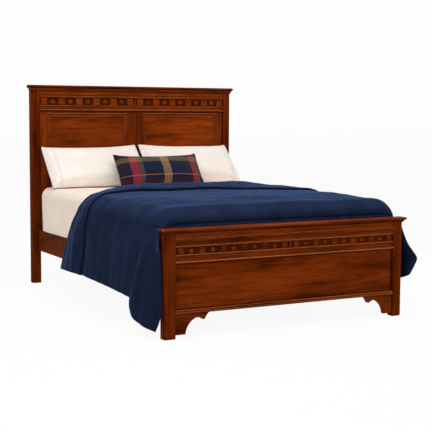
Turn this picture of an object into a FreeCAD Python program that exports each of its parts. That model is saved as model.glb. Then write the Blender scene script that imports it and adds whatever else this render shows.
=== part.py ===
"""A double (full size) panel bed with its bedding, piece by piece.

Frame of reference: +Z up, +Y from the footboard to the headboard, +X to the right seen from
the foot. The origin is on the floor at the middle of the whole bed. All sizes are in mm.

Each function makes one piece, or a left and right pair, and every node is written as its own
STEP file. The right-hand piece of a pair is modelled and the left-hand one is its mirror image.
"""
import FreeCAD, Part
import math
import os

Vec = FreeCAD.Vector

# ---------------------------------------------------------------- driving sizes: the sleeping well
mattress_width = 1372.0
mattress_length = 1905.0
mattress_height = 199.0
mattress_corner = 60.0         # plan radius of the mattress's corners
mattress_edge_round = 57.0     # radius of its soft upper edges
foundation_height = 190.0
side_clearance = 8.0           # mattress to each side rail
end_clearance = 41.0           # mattress to each end board

# ---------------------------------------------------------------- side rails, cleats and slats
rail_thickness = 25.0
rail_height = 140.0
rail_bottom = 222.0
rail_edge_round = 3.0
cleat_width = 25.0
cleat_height = 24.0
cleat_drop = 119.0             # top of the rail down to the top of the cleat
slat_width = 76.0
slat_thickness = 19.0
slat_end_gap = 3.0             # slat end to the rail's inner face
slat_count = 5
slat_end_distance = 150.0      # inner face of an end board to the centre of the nearest slat
legged_slats = (2, 3, 4)       # counted from the foot

# ---------------------------------------------------------------- centre legs and their glides
leg_side = 42.0
leg_chamfer = 5.0
glide_across_corners = 30.0
glide_pad_height = 9.0
glide_stem_radius = 4.0
glide_stem_length = 38.0
glide_travel = 12.0            # the screw can be turned this far into the leg
glide_running_gap = 0.08       # radial clearance of the stem in its insert
insert_radius = 6.5
insert_length = 18.0

# ---------------------------------------------------------------- posts
rail_setback = 40.0            # outer face of a side rail to the outer face of a post
foot_post_width = 65.0
foot_post_depth = 45.0
head_post_width = 58.0
head_post_depth = 48.0
post_quirk = 2.4               # depth of the sunk lines beside the reed
reed_width = 15.0
post_corner_round = 15.0
post_toe_chamfer = 3.0

# ---------------------------------------------------------------- footboard, from the top down
foot_height = 570.0
foot_cap_height = 14.0
foot_cove_height = 14.0
foot_band_height = 26.0
foot_torus_height = 18.0
foot_fillet_height = 19.0
foot_bead_height = 8.0
foot_frieze_height = 37.0
foot_lower_bead_height = 10.0
foot_hollow_height = 26.0
foot_ledge_height = 7.0
foot_base_top = 148.0
foot_base_height = 21.0

# ---------------------------------------------------------------- headboard, from the top down
head_height = 1333.0
head_cap_height = 19.0
head_cove_height = 20.0
head_band_height = 26.0
head_groove_height = 7.0
head_bead_height = 11.0
head_frieze_height = 50.0
head_lower_band_height = 38.0
head_quirk_height = 14.0
head_stile_width = 56.0
head_centre_width = 120.0
head_panel_moulding = 22.0
head_bottom_rail_low = 300.0
head_bottom_rail_height = 120.0

# ---------------------------------------------------------------- depths that both end boards share
cap_overhang_front = 14.0
cap_overhang_side = 15.0
cap_overhang_back = 5.0
board_setback = 10.0           # front of the framework behind the front of the posts
board_thickness = 24.0
moulding_proud = 8.0           # applied mouldings in front of the framework
frieze_relief = 6.0            # blocks and roundels in front of the framework
panel_thickness = 10.0
panel_setback = 6.0            # face of a panel behind the face of its framework
panel_tongue = 8.0             # how far a panel runs into its grooves
tenon_length = 22.0
tenon_thickness = 10.0
fit_gap = 0.15                 # clearance round tenons, tongues and let-in plates

# ---------------------------------------------------------------- frieze ornament
motifs_per_half = 11           # square blocks and round bosses in turn, blocks at both ends
motif_bevel = 2.5
motif_share = 0.62             # a motif's width as a share of its pitch
divider_width = 12.0

# ---------------------------------------------------------------- bracket feet under the footboard
bracket_reach = 198.0          # along the footboard, from the post
bracket_toe = 60.0
bracket_floor_gap = 20.0
bracket_thickness = 20.0
bracket_sweep_rise = 83.0
bracket_cusp_drop = 11.0
glue_block_side = 30.0
glue_block_height = 80.0

# ---------------------------------------------------------------- rail fittings
plate_thickness = 3.0
plate_width = 16.0
plate_height = 110.0
hook_thickness = 3.0
hook_reach = 14.0
hook_height = 22.0
hook_spacing = 60.0
hook_gap = 0.5

# ---------------------------------------------------------------- bedding
soft_gap = 0.4                 # clearance between soft pieces and what they lie on
sheet_thickness = 3.0
sheet_side_ease = 32.0         # the sheet hangs this far outside the mattress at the sides
sheet_end_ease = 3.0           # and this far at the head and the foot
sheet_edge_round = 60.0
sheet_hem_gap = 1.0            # hem of the sheet above the side rails
comforter_thickness = 13.0
comforter_side_ease = 25.0     # from the sheet to the comforter where it turns down
comforter_edge_round = 63.0    # of its underside
comforter_shoulder_drop = 14.0  # the turn-down is this much taller than it is wide
comforter_crown = 4.0          # its underside is this much higher along the middle
comforter_loft = 4.0           # it is this much thicker along the middle
comforter_foot_gap = 9.0       # from the sheet to the comforter where it turns down there
comforter_foot_drop = 185.0    # its foot end hangs this far down behind the footboard
comforter_head_distance = 544.5  # from the headboard's posts to the folded-back edge
comforter_fold_width = 402.0
comforter_fold_extra = 14.0
comforter_fold_slant = 152.0   # the folded edge swings this far to the foot down the sides
comforter_hem = 190.0
comforter_flare = 46.0         # how far the hem stands out from the shoulder
comforter_belly = 5.0          # the sides swell outward by this below the shoulder
comforter_swell = 6.0          # depth of the folds along the hems
comforter_corner_length = 203.0  # the low corner at the left foot, from the foot end
comforter_corner_hem = 54.0
comforter_corner_flare = 76.0  # how far the hanging foot corners stand out past the cap
post_clearance = 3.0           # the foot corners stand clear of the footboard's cap by this
pillow_width = 700.0
pillow_height = 365.0
pillow_depth = 160.0
pillow_lean = 43.0             # degrees back from upright, the cushion too
pillow_wall_gap = 16.5         # leaves the headboard's cap free when a pillow is lifted
pillow_side_gap = 4.0          # half the space between the two pillows
lumbar_width = 640.0
lumbar_height = 315.0
lumbar_depth = 105.0
lumbar_nestle = 16.8           # it sinks this far between the two pillows
lumbar_shift = 12.0            # the cushion lies a little right of the middle

# ---------------------------------------------------------------- places worked out from the sizes
rail_inner = mattress_width / 2 + side_clearance
rail_outer = rail_inner + rail_thickness
rail_top = rail_bottom + rail_height
post_outer = rail_outer + rail_setback
inside_length = mattress_length + 2 * end_clearance
overall_length = (cap_overhang_front + foot_post_depth + inside_length
                  + head_post_depth + cap_overhang_back)
foot_front = -overall_length / 2 + cap_overhang_front
foot_back = foot_front + foot_post_depth
head_front = foot_back + inside_length
head_back = head_front + head_post_depth
foot_inner = post_outer - foot_post_width
head_inner = post_outer - head_post_width
cleat_top = rail_top - cleat_drop
slat_top = cleat_top + slat_thickness
mattress_bottom = slat_top + foundation_height
mattress_top = mattress_bottom + mattress_height
mattress_foot = foot_back + end_clearance
mattress_head = mattress_foot + mattress_length
sheet_top = mattress_top + soft_gap + sheet_thickness
sheet_half = mattress_width / 2 + sheet_side_ease + sheet_thickness
sheet_foot = mattress_foot - sheet_end_ease - sheet_thickness
comforter_half = sheet_half + comforter_side_ease
comforter_head_edge = head_front - comforter_head_distance
comforter_reach = post_outer + cap_overhang_side + comforter_corner_flare


# ---------------------------------------------------------------- shape helpers
def box(x0, x1, y0, y1, z0, z1):
    """A box between two corners."""
    return Part.makeBox(x1 - x0, y1 - y0, z1 - z0, Vec(x0, y0, z0))


def wire(plane, level, start, *steps):
    """A closed outline in a plane, from points, and (middle, end) pairs for arcs."""
    place = {
        "xy": lambda a, b: Vec(a, b, level),
        "xz": lambda a, b: Vec(a, level, b),
        "yz": lambda a, b: Vec(level, a, b),
    }[plane]
    edges = []
    here = start
    for step in steps + (start,):
        if isinstance(step[0], tuple):
            middle, end = step
            edges.append(Part.Arc(place(*here), place(*middle), place(*end)).toShape())
        else:
            end = step
            if math.dist(here, end) > 1e-6:
                edges.append(Part.makeLine(place(*here), place(*end)))
        here = end
    return Part.Wire(edges)


def prism(plane, low, high, start, *steps):
    """An outline drawn square to an axis and run from low to high along it."""
    direction = {"xy": Vec(0, 0, 1), "xz": Vec(0, 1, 0), "yz": Vec(1, 0, 0)}[plane]
    face = Part.Face(wire(plane, low, start, *steps))
    return face.extrude(direction * (high - low))


def mirrored(shape):
    """The left-hand copy of a right-hand piece."""
    return shape.mirror(Vec(0, 0, 0), Vec(1, 0, 0))


def both_sides(shape):
    """A right-hand piece and its left-hand copy."""
    return [shape, mirrored(shape)]


def write(node, shapes):
    """Writes one node, a solid or a group of separate solids, to its own file."""
    solids = shapes if isinstance(shapes, list) else [shapes]
    solids = [solid for shape in solids for solid in shape.Solids]
    Part.makeCompound(solids).exportStep("parts/%s.step" % node)


# ---------------------------------------------------------------- posts
def post_section(inner, front, depth):
    """Plan of a right-hand post: a flat, a reed between two quirks, and a round corner."""
    outer = post_outer
    reed_start = outer - post_corner_round - reed_width
    reed_end = outer - post_corner_round
    quirk = front + post_quirk
    turn = post_corner_round * (1 - math.cos(math.radians(45)))
    return [
        (inner, front + depth),
        (inner, front),
        (reed_start - post_quirk, front),
        (reed_start, quirk),
        (((reed_start + reed_end) / 2, front), (reed_end, quirk)),
        ((outer - turn, quirk + turn), (outer, quirk + post_corner_round)),
        (outer, front + depth),
    ]


def post(inner, front, depth, height):
    """A right-hand post with a small chamfer round its toe."""
    section = post_section(inner, front, depth)
    stick = prism("xy", 0, height, section[0], *section[1:])
    toe = [edge for edge in stick.Edges
           if max(abs(v.Z) for v in edge.Vertexes) < 1e-6]
    return stick.makeChamfer(post_toe_chamfer, toe)


def mortise(inner, front, z0, z1):
    """The hole in a right-hand post that takes a rail's tenon."""
    y0 = front + board_setback + (board_thickness - tenon_thickness) / 2
    return box(inner - 1, inner + tenon_length + 1,
               y0 - fit_gap, y0 + tenon_thickness + fit_gap, z0 - fit_gap, z1 + fit_gap)


def tenoned_rail(inner, front, z0, z1, shoulder):
    """A cross rail between two posts, with a tenon at each end set in from its edges."""
    y0 = front + board_setback
    rail = box(-inner, inner, y0, y0 + board_thickness, z0, z1)
    t0 = y0 + (board_thickness - tenon_thickness) / 2
    reach = inner + tenon_length
    tenon = box(-reach, reach, t0, t0 + tenon_thickness, z0 + shoulder, z1 - shoulder)
    return rail.fuse(tenon).removeSplitter()


# ---------------------------------------------------------------- caps and coves
def mitred(front_steps, side_steps, front, back, reach):
    """A moulding that returns round both ends: a front profile met by the end profiles."""
    along = prism("yz", -reach, reach, *front_steps)
    across = prism("xz", front, back, *side_steps)
    return along.common(across)


def cap(front, back, z0, height):
    """The shelf on top of an end board, with a half-round edge at the front and the ends."""
    y0 = front - cap_overhang_front
    y1 = back + cap_overhang_back
    x1 = post_outer + cap_overhang_side
    z1 = z0 + height
    nose = height / 2
    lip = nose * 0.7
    front_steps = [(y1, z0), (y0 + lip, z0), ((y0, z0 + nose), (y0 + lip, z1)), (y1, z1)]
    side_steps = [(-x1 + lip, z0), ((-x1, z0 + nose), (-x1 + lip, z1)),
                  (x1 - lip, z1), ((x1, z0 + nose), (x1 - lip, z0))]
    return mitred(front_steps, side_steps, y0, y1, x1)


def cove(front, back, z0, height):
    """The hollow moulding under a cap, wrapping the posts as well."""
    grow = cap_overhang_front * 0.62
    dip = grow * 0.72
    z1 = z0 + height
    low_y = front - 1.0
    low_x = post_outer + 1.0
    mid_z = z0 + height * 0.62
    front_steps = [(back, z0), (low_y, z0),
                   ((low_y - grow + dip, mid_z), (low_y - grow, z1)), (back, z1)]
    side_steps = [(-low_x, z0), ((-low_x - grow + dip, mid_z), (-low_x - grow, z1)),
                  (low_x + grow, z1), ((low_x + grow - dip, mid_z), (low_x, z0))]
    return mitred(front_steps, side_steps, low_y - grow, back, low_x + grow)


# ---------------------------------------------------------------- frieze
def frieze_motifs(half_width, front, z0, height):
    """Square bevelled blocks and turned bosses in turn, filling both halves of a frieze."""
    face = front + board_setback
    pitch = (half_width - divider_width / 2) / motifs_per_half
    size = min(pitch, height) * motif_share
    middle = z0 + height / 2
    blocks = []
    bosses = []
    for place in range(motifs_per_half):
        x = divider_width / 2 + pitch * (place + 0.5)
        if place % 2 == 0:
            motif = frieze_block(x, face, middle, min(pitch, height) - 2.0)
            blocks += both_sides(motif)
        else:
            motif = frieze_boss(x, face, middle, size)
            bosses += both_sides(motif)
    return blocks, bosses


def frieze_block(x, face, z, size):
    """A square block whose four edges are bevelled towards its face."""
    half = size / 2
    block = box(x - half, x + half, face - frieze_relief, face, z - half, z + half)
    rim = [edge for edge in block.Edges
           if all(abs(v.Y - (face - frieze_relief)) < 1e-6 for v in edge.Vertexes)]
    return block.makeChamfer(motif_bevel, rim)


def frieze_boss(x, face, z, size):
    """A twelve-sided boss: a short drum with a low bevelled crown."""
    drum = frieze_relief * 0.6
    rings = []
    for share, level in ((1.0, 0.0), (1.0, drum), (0.4, frieze_relief)):
        reach = size / 2 * share
        ring = [(x + reach * math.cos(math.radians(30 * turn)),
                 z + reach * math.sin(math.radians(30 * turn))) for turn in range(12)]
        rings.append(wire("xz", face - level, ring[0], *ring[1:]))
    return Part.makeLoft(rings, True, True)


def frieze_divider(front, z0, height):
    """The upright bead between the two halves of a frieze."""
    face = front + board_setback
    half = divider_width / 2
    return prism("xy", z0, z0 + height, (-half, face), ((0, face - moulding_proud), (half, face)))


# ---------------------------------------------------------------- footboard
def foot_levels():
    """Heights of the footboard's horizontal lines, from the cap down."""
    z = {"cap": foot_height - foot_cap_height}
    z["cove"] = z["cap"] - foot_cove_height
    z["band"] = z["cove"] - foot_band_height
    z["torus"] = z["band"] - foot_torus_height
    z["fillet"] = z["torus"] - foot_fillet_height
    z["bead"] = z["fillet"] - foot_bead_height
    z["frieze"] = z["bead"] - foot_frieze_height
    z["lower_bead"] = z["frieze"] - foot_lower_bead_height
    z["hollow"] = z["lower_bead"] - foot_hollow_height
    z["ledge"] = z["hollow"] - foot_ledge_height
    z["base"] = foot_base_top - foot_base_height
    return z


def foot_crown(z):
    """Plain band, torus, fillet and bead above the footboard's frieze, in one moulding."""
    back = foot_front + board_setback
    flat = back - moulding_proud + 2
    torus = back - moulding_proud - 2
    mid_torus = (z["band"] + z["torus"]) / 2
    mid_bead = (z["fillet"] + z["bead"]) / 2
    steps = [
        (back, z["bead"]),
        (back, z["cove"]),
        (flat, z["cove"]),
        (flat, z["band"]),
        ((torus, mid_torus), (flat, z["torus"])),
        (flat + 1.5, z["fillet"]),
        ((flat - 1.5, mid_bead), (flat + 1.5, z["bead"])),
    ]
    return prism("yz", -foot_inner, foot_inner, *steps)


def foot_lower_moulding(z):
    """Bead, hollow and projecting ledge below the footboard's frieze."""
    back = foot_front + board_setback
    flat = back - moulding_proud + 3
    steps = [
        (back, z["ledge"]),
        (back, z["frieze"]),
        (flat, z["frieze"]),
        ((flat - 2.5, (z["frieze"] + z["lower_bead"]) / 2), (flat, z["lower_bead"])),
        ((flat + 1.5, (z["lower_bead"] + z["hollow"]) / 2), (flat - 3.5, z["hollow"])),
        ((flat - 6.0, z["hollow"] - foot_ledge_height / 2), (flat - 3.0, z["ledge"])),
    ]
    return prism("yz", -foot_inner, foot_inner, *steps)


def foot_base_moulding(z):
    """Two beads one over the other along the bottom of the footboard."""
    back = foot_front + board_setback
    flat = back - moulding_proud + 2
    middle = (foot_base_top + z["base"]) / 2
    steps = [
        (back, z["base"]),
        (back, foot_base_top),
        (flat + 2, foot_base_top),
        ((flat - 2, (foot_base_top + middle) / 2), (flat + 1, middle)),
        ((flat - 5, (middle + z["base"]) / 2), (flat, z["base"])),
    ]
    return prism("yz", -foot_inner, foot_inner, *steps)


def bracket_foot(z):
    """A right-hand bracket: toe, quarter sweep, small cusp and a sweep up to the moulding."""
    top = z["base"]
    toe = foot_inner - bracket_toe
    tip = foot_inner - bracket_reach
    low = bracket_floor_gap
    crest_x = toe - 62
    crest = low + bracket_sweep_rise
    cusp = crest - bracket_cusp_drop
    y0 = foot_front + board_setback - 4
    steps = [
        (foot_inner, top),
        (foot_inner, low),
        (toe, low),
        ((toe - 25, low + 0.7 * bracket_sweep_rise), (crest_x, crest)),
        ((crest_x - 20, crest - 1.5), (crest_x - 37, cusp + 1)),
        ((crest_x - 45, cusp - 1.5), (crest_x - 52, cusp + 3)),
        ((tip + 14, (cusp + top) / 2 + 2), (tip, top)),
    ]
    return prism("xz", y0, y0 + bracket_thickness, *steps)


def glue_block(z):
    """A right-hand corner block behind a bracket foot, glued to the post and the bracket."""
    y0 = foot_front + board_setback - 4 + bracket_thickness
    x1 = foot_inner
    z1 = z["base"]
    return prism("xy", z1 - glue_block_height, z1,
                 (x1, y0), (x1, y0 + glue_block_side * 0.6), (x1 - glue_block_side, y0))


def panel_tray(x0, x1, face, z0, z1, grow):
    """A panel's blank, with its tongue; grown a little it is the groove that takes it."""
    return box(x0 - panel_tongue - grow, x1 + panel_tongue + grow,
               face - grow, face + panel_thickness + grow,
               z0 - panel_tongue - grow, z1 + panel_tongue + grow)


def make_footboard():
    """Every piece of the footboard."""
    z = foot_levels()
    face = foot_front + board_setback
    panel_face = face + panel_setback
    rail_low = z["ledge"]
    panel = panel_tray(-foot_inner, foot_inner, panel_face, foot_base_top, rail_low, 0)
    groove = panel_tray(-foot_inner, foot_inner, panel_face, foot_base_top, rail_low, fit_gap)
    top_rail = tenoned_rail(foot_inner, foot_front, rail_low, z["cove"], 20.0)
    bottom_rail = tenoned_rail(foot_inner, foot_front, z["base"], foot_base_top, 2.0)
    right_post = post(foot_inner, foot_front, foot_post_depth, z["cove"])
    for low, high in ((rail_low + 20, z["cove"] - 20), (z["base"] + 2, foot_base_top - 2)):
        right_post = right_post.cut(mortise(foot_inner, foot_front, low, high))
    right_post = right_post.cut(groove).cut(receiver_seat(foot_back, -1))
    write("foot_post_right", right_post)
    write("foot_post_left", mirrored(right_post))
    write("foot_cap", cap(foot_front, foot_back, z["cap"], foot_cap_height))
    write("foot_cove_moulding", cove(foot_front, foot_back, z["cove"], foot_cove_height))
    write("foot_top_rail", top_rail.cut(groove))
    write("foot_bottom_rail", bottom_rail.cut(groove))
    write("foot_panel", panel)
    write("foot_crown_moulding", foot_crown(z))
    write("foot_lower_moulding", foot_lower_moulding(z))
    write("foot_base_moulding", foot_base_moulding(z))
    blocks, bosses = frieze_motifs(foot_inner, foot_front, z["frieze"], foot_frieze_height)
    write("foot_frieze_blocks", blocks)
    write("foot_frieze_bosses", bosses)
    write("foot_frieze_divider", frieze_divider(foot_front, z["frieze"], foot_frieze_height))
    bracket = bracket_foot(z)
    write("foot_bracket_right", bracket)
    write("foot_bracket_left", mirrored(bracket))
    write("foot_glue_blocks", both_sides(glue_block(z)))


# ---------------------------------------------------------------- headboard
def head_levels():
    """Heights of the headboard's horizontal lines, from the cap down."""
    z = {"cap": head_height - head_cap_height}
    z["cove"] = z["cap"] - head_cove_height
    z["band"] = z["cove"] - head_band_height
    z["groove"] = z["band"] - head_groove_height
    z["bead"] = z["groove"] - head_bead_height
    z["frieze"] = z["bead"] - head_frieze_height
    z["lower_band"] = z["frieze"] - head_lower_band_height
    z["quirk"] = z["lower_band"] - head_quirk_height
    z["bottom"] = head_bottom_rail_low + head_bottom_rail_height
    return z


def head_crown(z):
    """Plain band, sunk line and bead above the headboard's frieze, in one moulding."""
    back = head_front + board_setback
    flat = back - moulding_proud + 2
    steps = [
        (back, z["bead"]),
        (back, z["cove"]),
        (flat, z["cove"]),
        (flat, z["band"] + 1.5),
        (flat + 3, z["band"]),
        (flat + 3, z["groove"]),
        ((flat - 2, (z["groove"] + z["bead"]) / 2), (flat + 3, z["bead"])),
    ]
    return prism("yz", -head_inner, head_inner, *steps)


def head_lower_moulding(z):
    """Broad band with a rounded lower edge below the headboard's frieze."""
    back = head_front + board_setback
    flat = back - moulding_proud + 3
    steps = [
        (back, z["lower_band"]),
        (back, z["frieze"]),
        (flat, z["frieze"]),
        ((flat - 2.5, z["frieze"] - 4), (flat, z["frieze"] - 8)),
        (flat, z["lower_band"] + 9),
        ((flat - 5, z["lower_band"] + 4.5), (flat, z["lower_band"])),
    ]
    return prism("yz", -head_inner, head_inner, *steps)


def reeded_stile(z0, z1):
    """The centre stile: five upright reeds between flat margins."""
    face = head_front + board_setback
    half = head_centre_width / 2
    reeds = 5
    pitch = (head_centre_width - 20) / reeds
    steps = [(-half, face + board_thickness), (-half, face), (-half + 10, face)]
    for index in range(reeds):
        x = -half + 10 + pitch * index
        steps.append(((x + pitch / 2, face - 4.5), (x + pitch, face)))
    steps += [(half, face), (half, face + board_thickness)]
    return prism("xy", z0, z1, *steps)


def moulding_strip(length, face):
    """A length of panel moulding along X, its ends mitred, with its outer edge at z = 0."""
    width = head_panel_moulding
    depth = panel_setback
    strip = prism("yz", 0, length,
                  (face + depth, 0), (face - 1.5, 0),
                  ((face - 2.5, -width * 0.2), (face + 0.5, -width * 0.4)),
                  ((face + depth * 0.7, -width * 0.62), (face + depth - 1.2, -width)),
                  (face + depth, -width))
    mitre = prism("xz", face - 10, face + depth + 10,
                  (0, 0), (length, 0), (length - width - 1, -width - 1), (width + 1, -width - 1))
    return strip.common(mitre)


def panel_mouldings(x0, x1, z0, z1):
    """Four mitred strips round one panel opening."""
    face = head_front + board_setback
    strips = []
    for turn, start, length in (
            (0, (x0, z1), x1 - x0), (90, (x1, z1), z1 - z0),
            (180, (x1, z0), x1 - x0), (270, (x0, z0), z1 - z0)):
        strip = moulding_strip(length, face)
        strip.rotate(Vec(0, 0, 0), Vec(0, 1, 0), turn)
        strip.translate(Vec(start[0], 0, start[1]))
        strips.append(strip)
    return strips


def make_headboard():
    """Every piece of the headboard."""
    z = head_levels()
    face = head_front + board_setback
    panel_face = face + panel_setback
    panel_in = head_centre_width / 2
    panel_out = head_inner - head_stile_width
    panel_top = z["quirk"]
    panel_low = z["bottom"]
    panel = panel_tray(panel_in, panel_out, panel_face, panel_low, panel_top, 0)
    groove = panel_tray(panel_in, panel_out, panel_face, panel_low, panel_top, fit_gap)
    grooves = groove.fuse(mirrored(groove))
    top_rail = tenoned_rail(head_inner, head_front, panel_top, z["cove"], 20.0)
    bottom_rail = tenoned_rail(head_inner, head_front, head_bottom_rail_low, panel_low, 20.0)
    right_post = post(head_inner, head_front, head_post_depth, z["cove"])
    for low, high in ((panel_top + 20, z["cove"] - 20),
                      (head_bottom_rail_low + 20, panel_low - 20)):
        right_post = right_post.cut(mortise(head_inner, head_front, low, high))
    right_post = right_post.cut(receiver_seat(head_front, 1))
    stile = box(panel_out, head_inner, face, face + board_thickness, panel_low, panel_top)
    write("head_post_right", right_post)
    write("head_post_left", mirrored(right_post))
    write("head_cap", cap(head_front, head_back, z["cap"], head_cap_height))
    write("head_cove_moulding", cove(head_front, head_back, z["cove"], head_cove_height))
    write("head_top_rail", top_rail.cut(grooves))
    write("head_bottom_rail", bottom_rail.cut(grooves))
    write("head_stile_right", stile.cut(grooves))
    write("head_stile_left", mirrored(stile.cut(grooves)))
    write("head_centre_stile", reeded_stile(panel_low, panel_top).cut(grooves))
    write("head_panel_right", panel)
    write("head_panel_left", mirrored(panel))
    strips = panel_mouldings(panel_in, panel_out, panel_low, panel_top)
    write("head_panel_mouldings", strips + [mirrored(strip) for strip in strips])
    write("head_crown_moulding", head_crown(z))
    write("head_lower_moulding", head_lower_moulding(z))
    blocks, bosses = frieze_motifs(head_inner, head_front, z["frieze"], head_frieze_height)
    write("head_frieze_blocks", blocks)
    write("head_frieze_bosses", bosses)
    write("head_frieze_divider", frieze_divider(head_front, z["frieze"], head_frieze_height))


# ---------------------------------------------------------------- rail fittings
def fitting_x():
    """The line up the middle of a right-hand rail's end that the fittings are set on."""
    return (rail_inner + rail_outer) / 2


def hook_centres():
    """Heights of the two hooks on a rail fitting."""
    middle = rail_bottom + rail_height / 2
    return [middle - hook_spacing / 2, middle + hook_spacing / 2]


def fitting_plate(y0, y1, grow):
    """The blank of a fitting plate, grown where it is the recess that takes it."""
    middle = rail_bottom + rail_height / 2
    return box(fitting_x() - plate_width / 2 - grow, fitting_x() + plate_width / 2 + grow,
               y0, y1, middle - plate_height / 2 - grow, middle + plate_height / 2 + grow)


def hook_pocket(y0, y1, grow):
    """The slots that the hooks drop into, in the plate and in the post behind it."""
    half = hook_thickness / 2 + grow
    slots = [box(fitting_x() - half, fitting_x() + half, y0, y1,
                 z - hook_height / 2 - grow, z + hook_height / 2 + 12) for z in hook_centres()]
    return slots[0].fuse(slots[1])


def receiver_seat(face, inward):
    """Recess and hook pockets in a right-hand post; inward is +1 towards the headboard."""
    plate = sorted((face, face + inward * plate_thickness))
    pocket = sorted((face, face + inward * (plate_thickness + hook_reach + 3)))
    seat = fitting_plate(plate[0], plate[1], fit_gap)
    return seat.fuse(hook_pocket(pocket[0], pocket[1], hook_gap))


def receiver_plate(face, inward):
    """The slotted plate let into a right-hand post, flush with its face."""
    plate = sorted((face, face + inward * plate_thickness))
    body = fitting_plate(plate[0], plate[1], 0)
    return body.cut(hook_pocket(plate[0] - 1, plate[1] + 1, hook_gap))


def hook_plate(face, inward):
    """The plate let into a right-hand rail's end, with its two hooks."""
    plate = sorted((face - inward * plate_thickness, face))
    body = fitting_plate(plate[0], plate[1], 0)
    for z in hook_centres():
        y = sorted((face - inward * 0.5, face + inward * (plate_thickness + hook_reach)))
        arm = box(fitting_x() - hook_thickness / 2, fitting_x() + hook_thickness / 2,
                  y[0], y[1], z - hook_height / 2, z + hook_height / 2)
        notch_y = sorted((face, face + inward * (plate_thickness + hook_gap)))
        notch = box(fitting_x() - hook_thickness, fitting_x() + hook_thickness,
                    notch_y[0], notch_y[1], z - hook_height, z - hook_height / 2 + 8)
        body = body.fuse(arm.cut(notch))
    return body.removeSplitter()


def make_rails():
    """Side rails, the cleats glued along them and their end fittings."""
    rail = box(rail_inner, rail_outer, foot_back, head_front, rail_bottom, rail_top)
    rounded = [edge for edge in rail.Edges
               if all(abs(v.X - rail_outer) < 1e-6 for v in edge.Vertexes)
               and abs(edge.Vertexes[0].Y - edge.Vertexes[1].Y) > 1]
    rail = rail.makeFillet(rail_edge_round, rounded)
    cleat = box(rail_inner - cleat_width, rail_inner, foot_back + 20, head_front - 20,
                cleat_top - cleat_height, cleat_top)
    for face, inward in ((foot_back, -1), (head_front, 1)):
        recess = sorted((face - inward * plate_thickness, face))
        rail = rail.cut(fitting_plate(recess[0], recess[1], fit_gap))
    write("rail_right", rail)
    write("rail_left", mirrored(rail))
    write("cleat_right", cleat)
    write("cleat_left", mirrored(cleat))
    hooks = [hook_plate(foot_back, -1), hook_plate(head_front, 1)]
    plates = [receiver_plate(foot_back, -1), receiver_plate(head_front, 1)]
    write("rail_hook_plates", hooks + [mirrored(one) for one in hooks])
    write("post_receiver_plates", plates + [mirrored(one) for one in plates])


# ---------------------------------------------------------------- slats, legs and glides
def slat_centres():
    """Places of the slats along the bed."""
    first = foot_back + slat_end_distance
    last = head_front - slat_end_distance
    return [first + (last - first) * index / (slat_count - 1) for index in range(slat_count)]


def centre_leg(y):
    """A square leg under the middle of a slat, bored for its threaded insert and glide."""
    half = leg_side / 2
    leg = box(-half, half, y - half, y + half, glide_pad_height + glide_travel, cleat_top)
    edges = [edge for edge in leg.Edges
             if abs(edge.Vertexes[0].Z - edge.Vertexes[1].Z) > 1]
    leg = leg.makeChamfer(leg_chamfer, edges)
    bore = Part.makeCylinder(insert_radius + fit_gap, glide_stem_length + glide_travel,
                             Vec(0, y, glide_pad_height + glide_travel))
    return leg.cut(bore)


def leg_insert(y):
    """The eight-sided sleeve in the foot of a leg that the glide's stem turns in."""
    low = glide_pad_height + glide_travel
    corners = [(insert_radius * math.cos(math.radians(45 * turn)),
                y + insert_radius * math.sin(math.radians(45 * turn))) for turn in range(8)]
    sleeve = prism("xy", low, low + insert_length, corners[0], *corners[1:])
    hole = Part.makeCylinder(glide_stem_radius + glide_running_gap, insert_length, Vec(0, y, low))
    return sleeve.cut(hole)


def glide(y):
    """A levelling glide: a six-sided pad on the floor and a stem up into the leg."""
    reach = glide_across_corners / 2
    corners = [(reach * math.cos(math.radians(60 * turn)), y + reach * math.sin(math.radians(60 * turn)))
               for turn in range(6)]
    pad = prism("xy", 0, glide_pad_height, corners[0], *corners[1:])
    stem = Part.makeCylinder(glide_stem_radius, glide_stem_length, Vec(0, y, glide_pad_height))
    return pad.fuse(stem).removeSplitter()


def make_slats():
    """Slats across the cleats, three of them with a leg and a levelling glide."""
    half = rail_inner - slat_end_gap
    for index, y in enumerate(slat_centres()):
        write("slat_%d" % (index + 1),
              box(-half, half, y - slat_width / 2, y + slat_width / 2, cleat_top, slat_top))
    inserts = []
    for number, slat in enumerate(legged_slats, 1):
        y = slat_centres()[slat - 1]
        write("centre_leg_%d" % number, centre_leg(y))
        write("levelling_glide_%d" % number, glide(y))
        inserts.append(leg_insert(y))
    write("leg_inserts", inserts)


# ---------------------------------------------------------------- bedding
def soft_block(half, y0, y1, z0, z1, corner, edge):
    """A block with round corners in plan and rounded upper edges."""
    turn = edge * (1 - math.cos(math.radians(45)))
    along = prism("yz", -half, half, (y0, z0), (y0, z1 - edge), ((y0 + turn, z1 - turn), (y0 + edge, z1)),
                  (y1 - edge, z1), ((y1 - turn, z1 - turn), (y1, z1 - edge)), (y1, z0))
    across = prism("xz", y0, y1, (-half, z0), (-half, z1 - edge),
                   ((turn - half, z1 - turn), (edge - half, z1)), (half - edge, z1),
                   ((half - turn, z1 - turn), (half, z1 - edge)), (half, z0))
    return along.common(across).common(plan_block(half, y0, y1, z0, z1, corner))


def plan_block(half, y0, y1, z0, z1, corner):
    """A block with round corners in plan."""
    turn = corner * (1 - math.cos(math.radians(45)))
    return prism("xy", z0, z1, (corner - half, y0), (half - corner, y0),
                 ((half - turn, y0 + turn), (half, y0 + corner)), (half, y1 - corner),
                 ((half - turn, y1 - turn), (half - corner, y1)), (corner - half, y1),
                 ((turn - half, y1 - turn), (-half, y1 - corner)), (-half, y0 + corner),
                 ((turn - half, y0 + turn), (corner - half, y0)))


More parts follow.
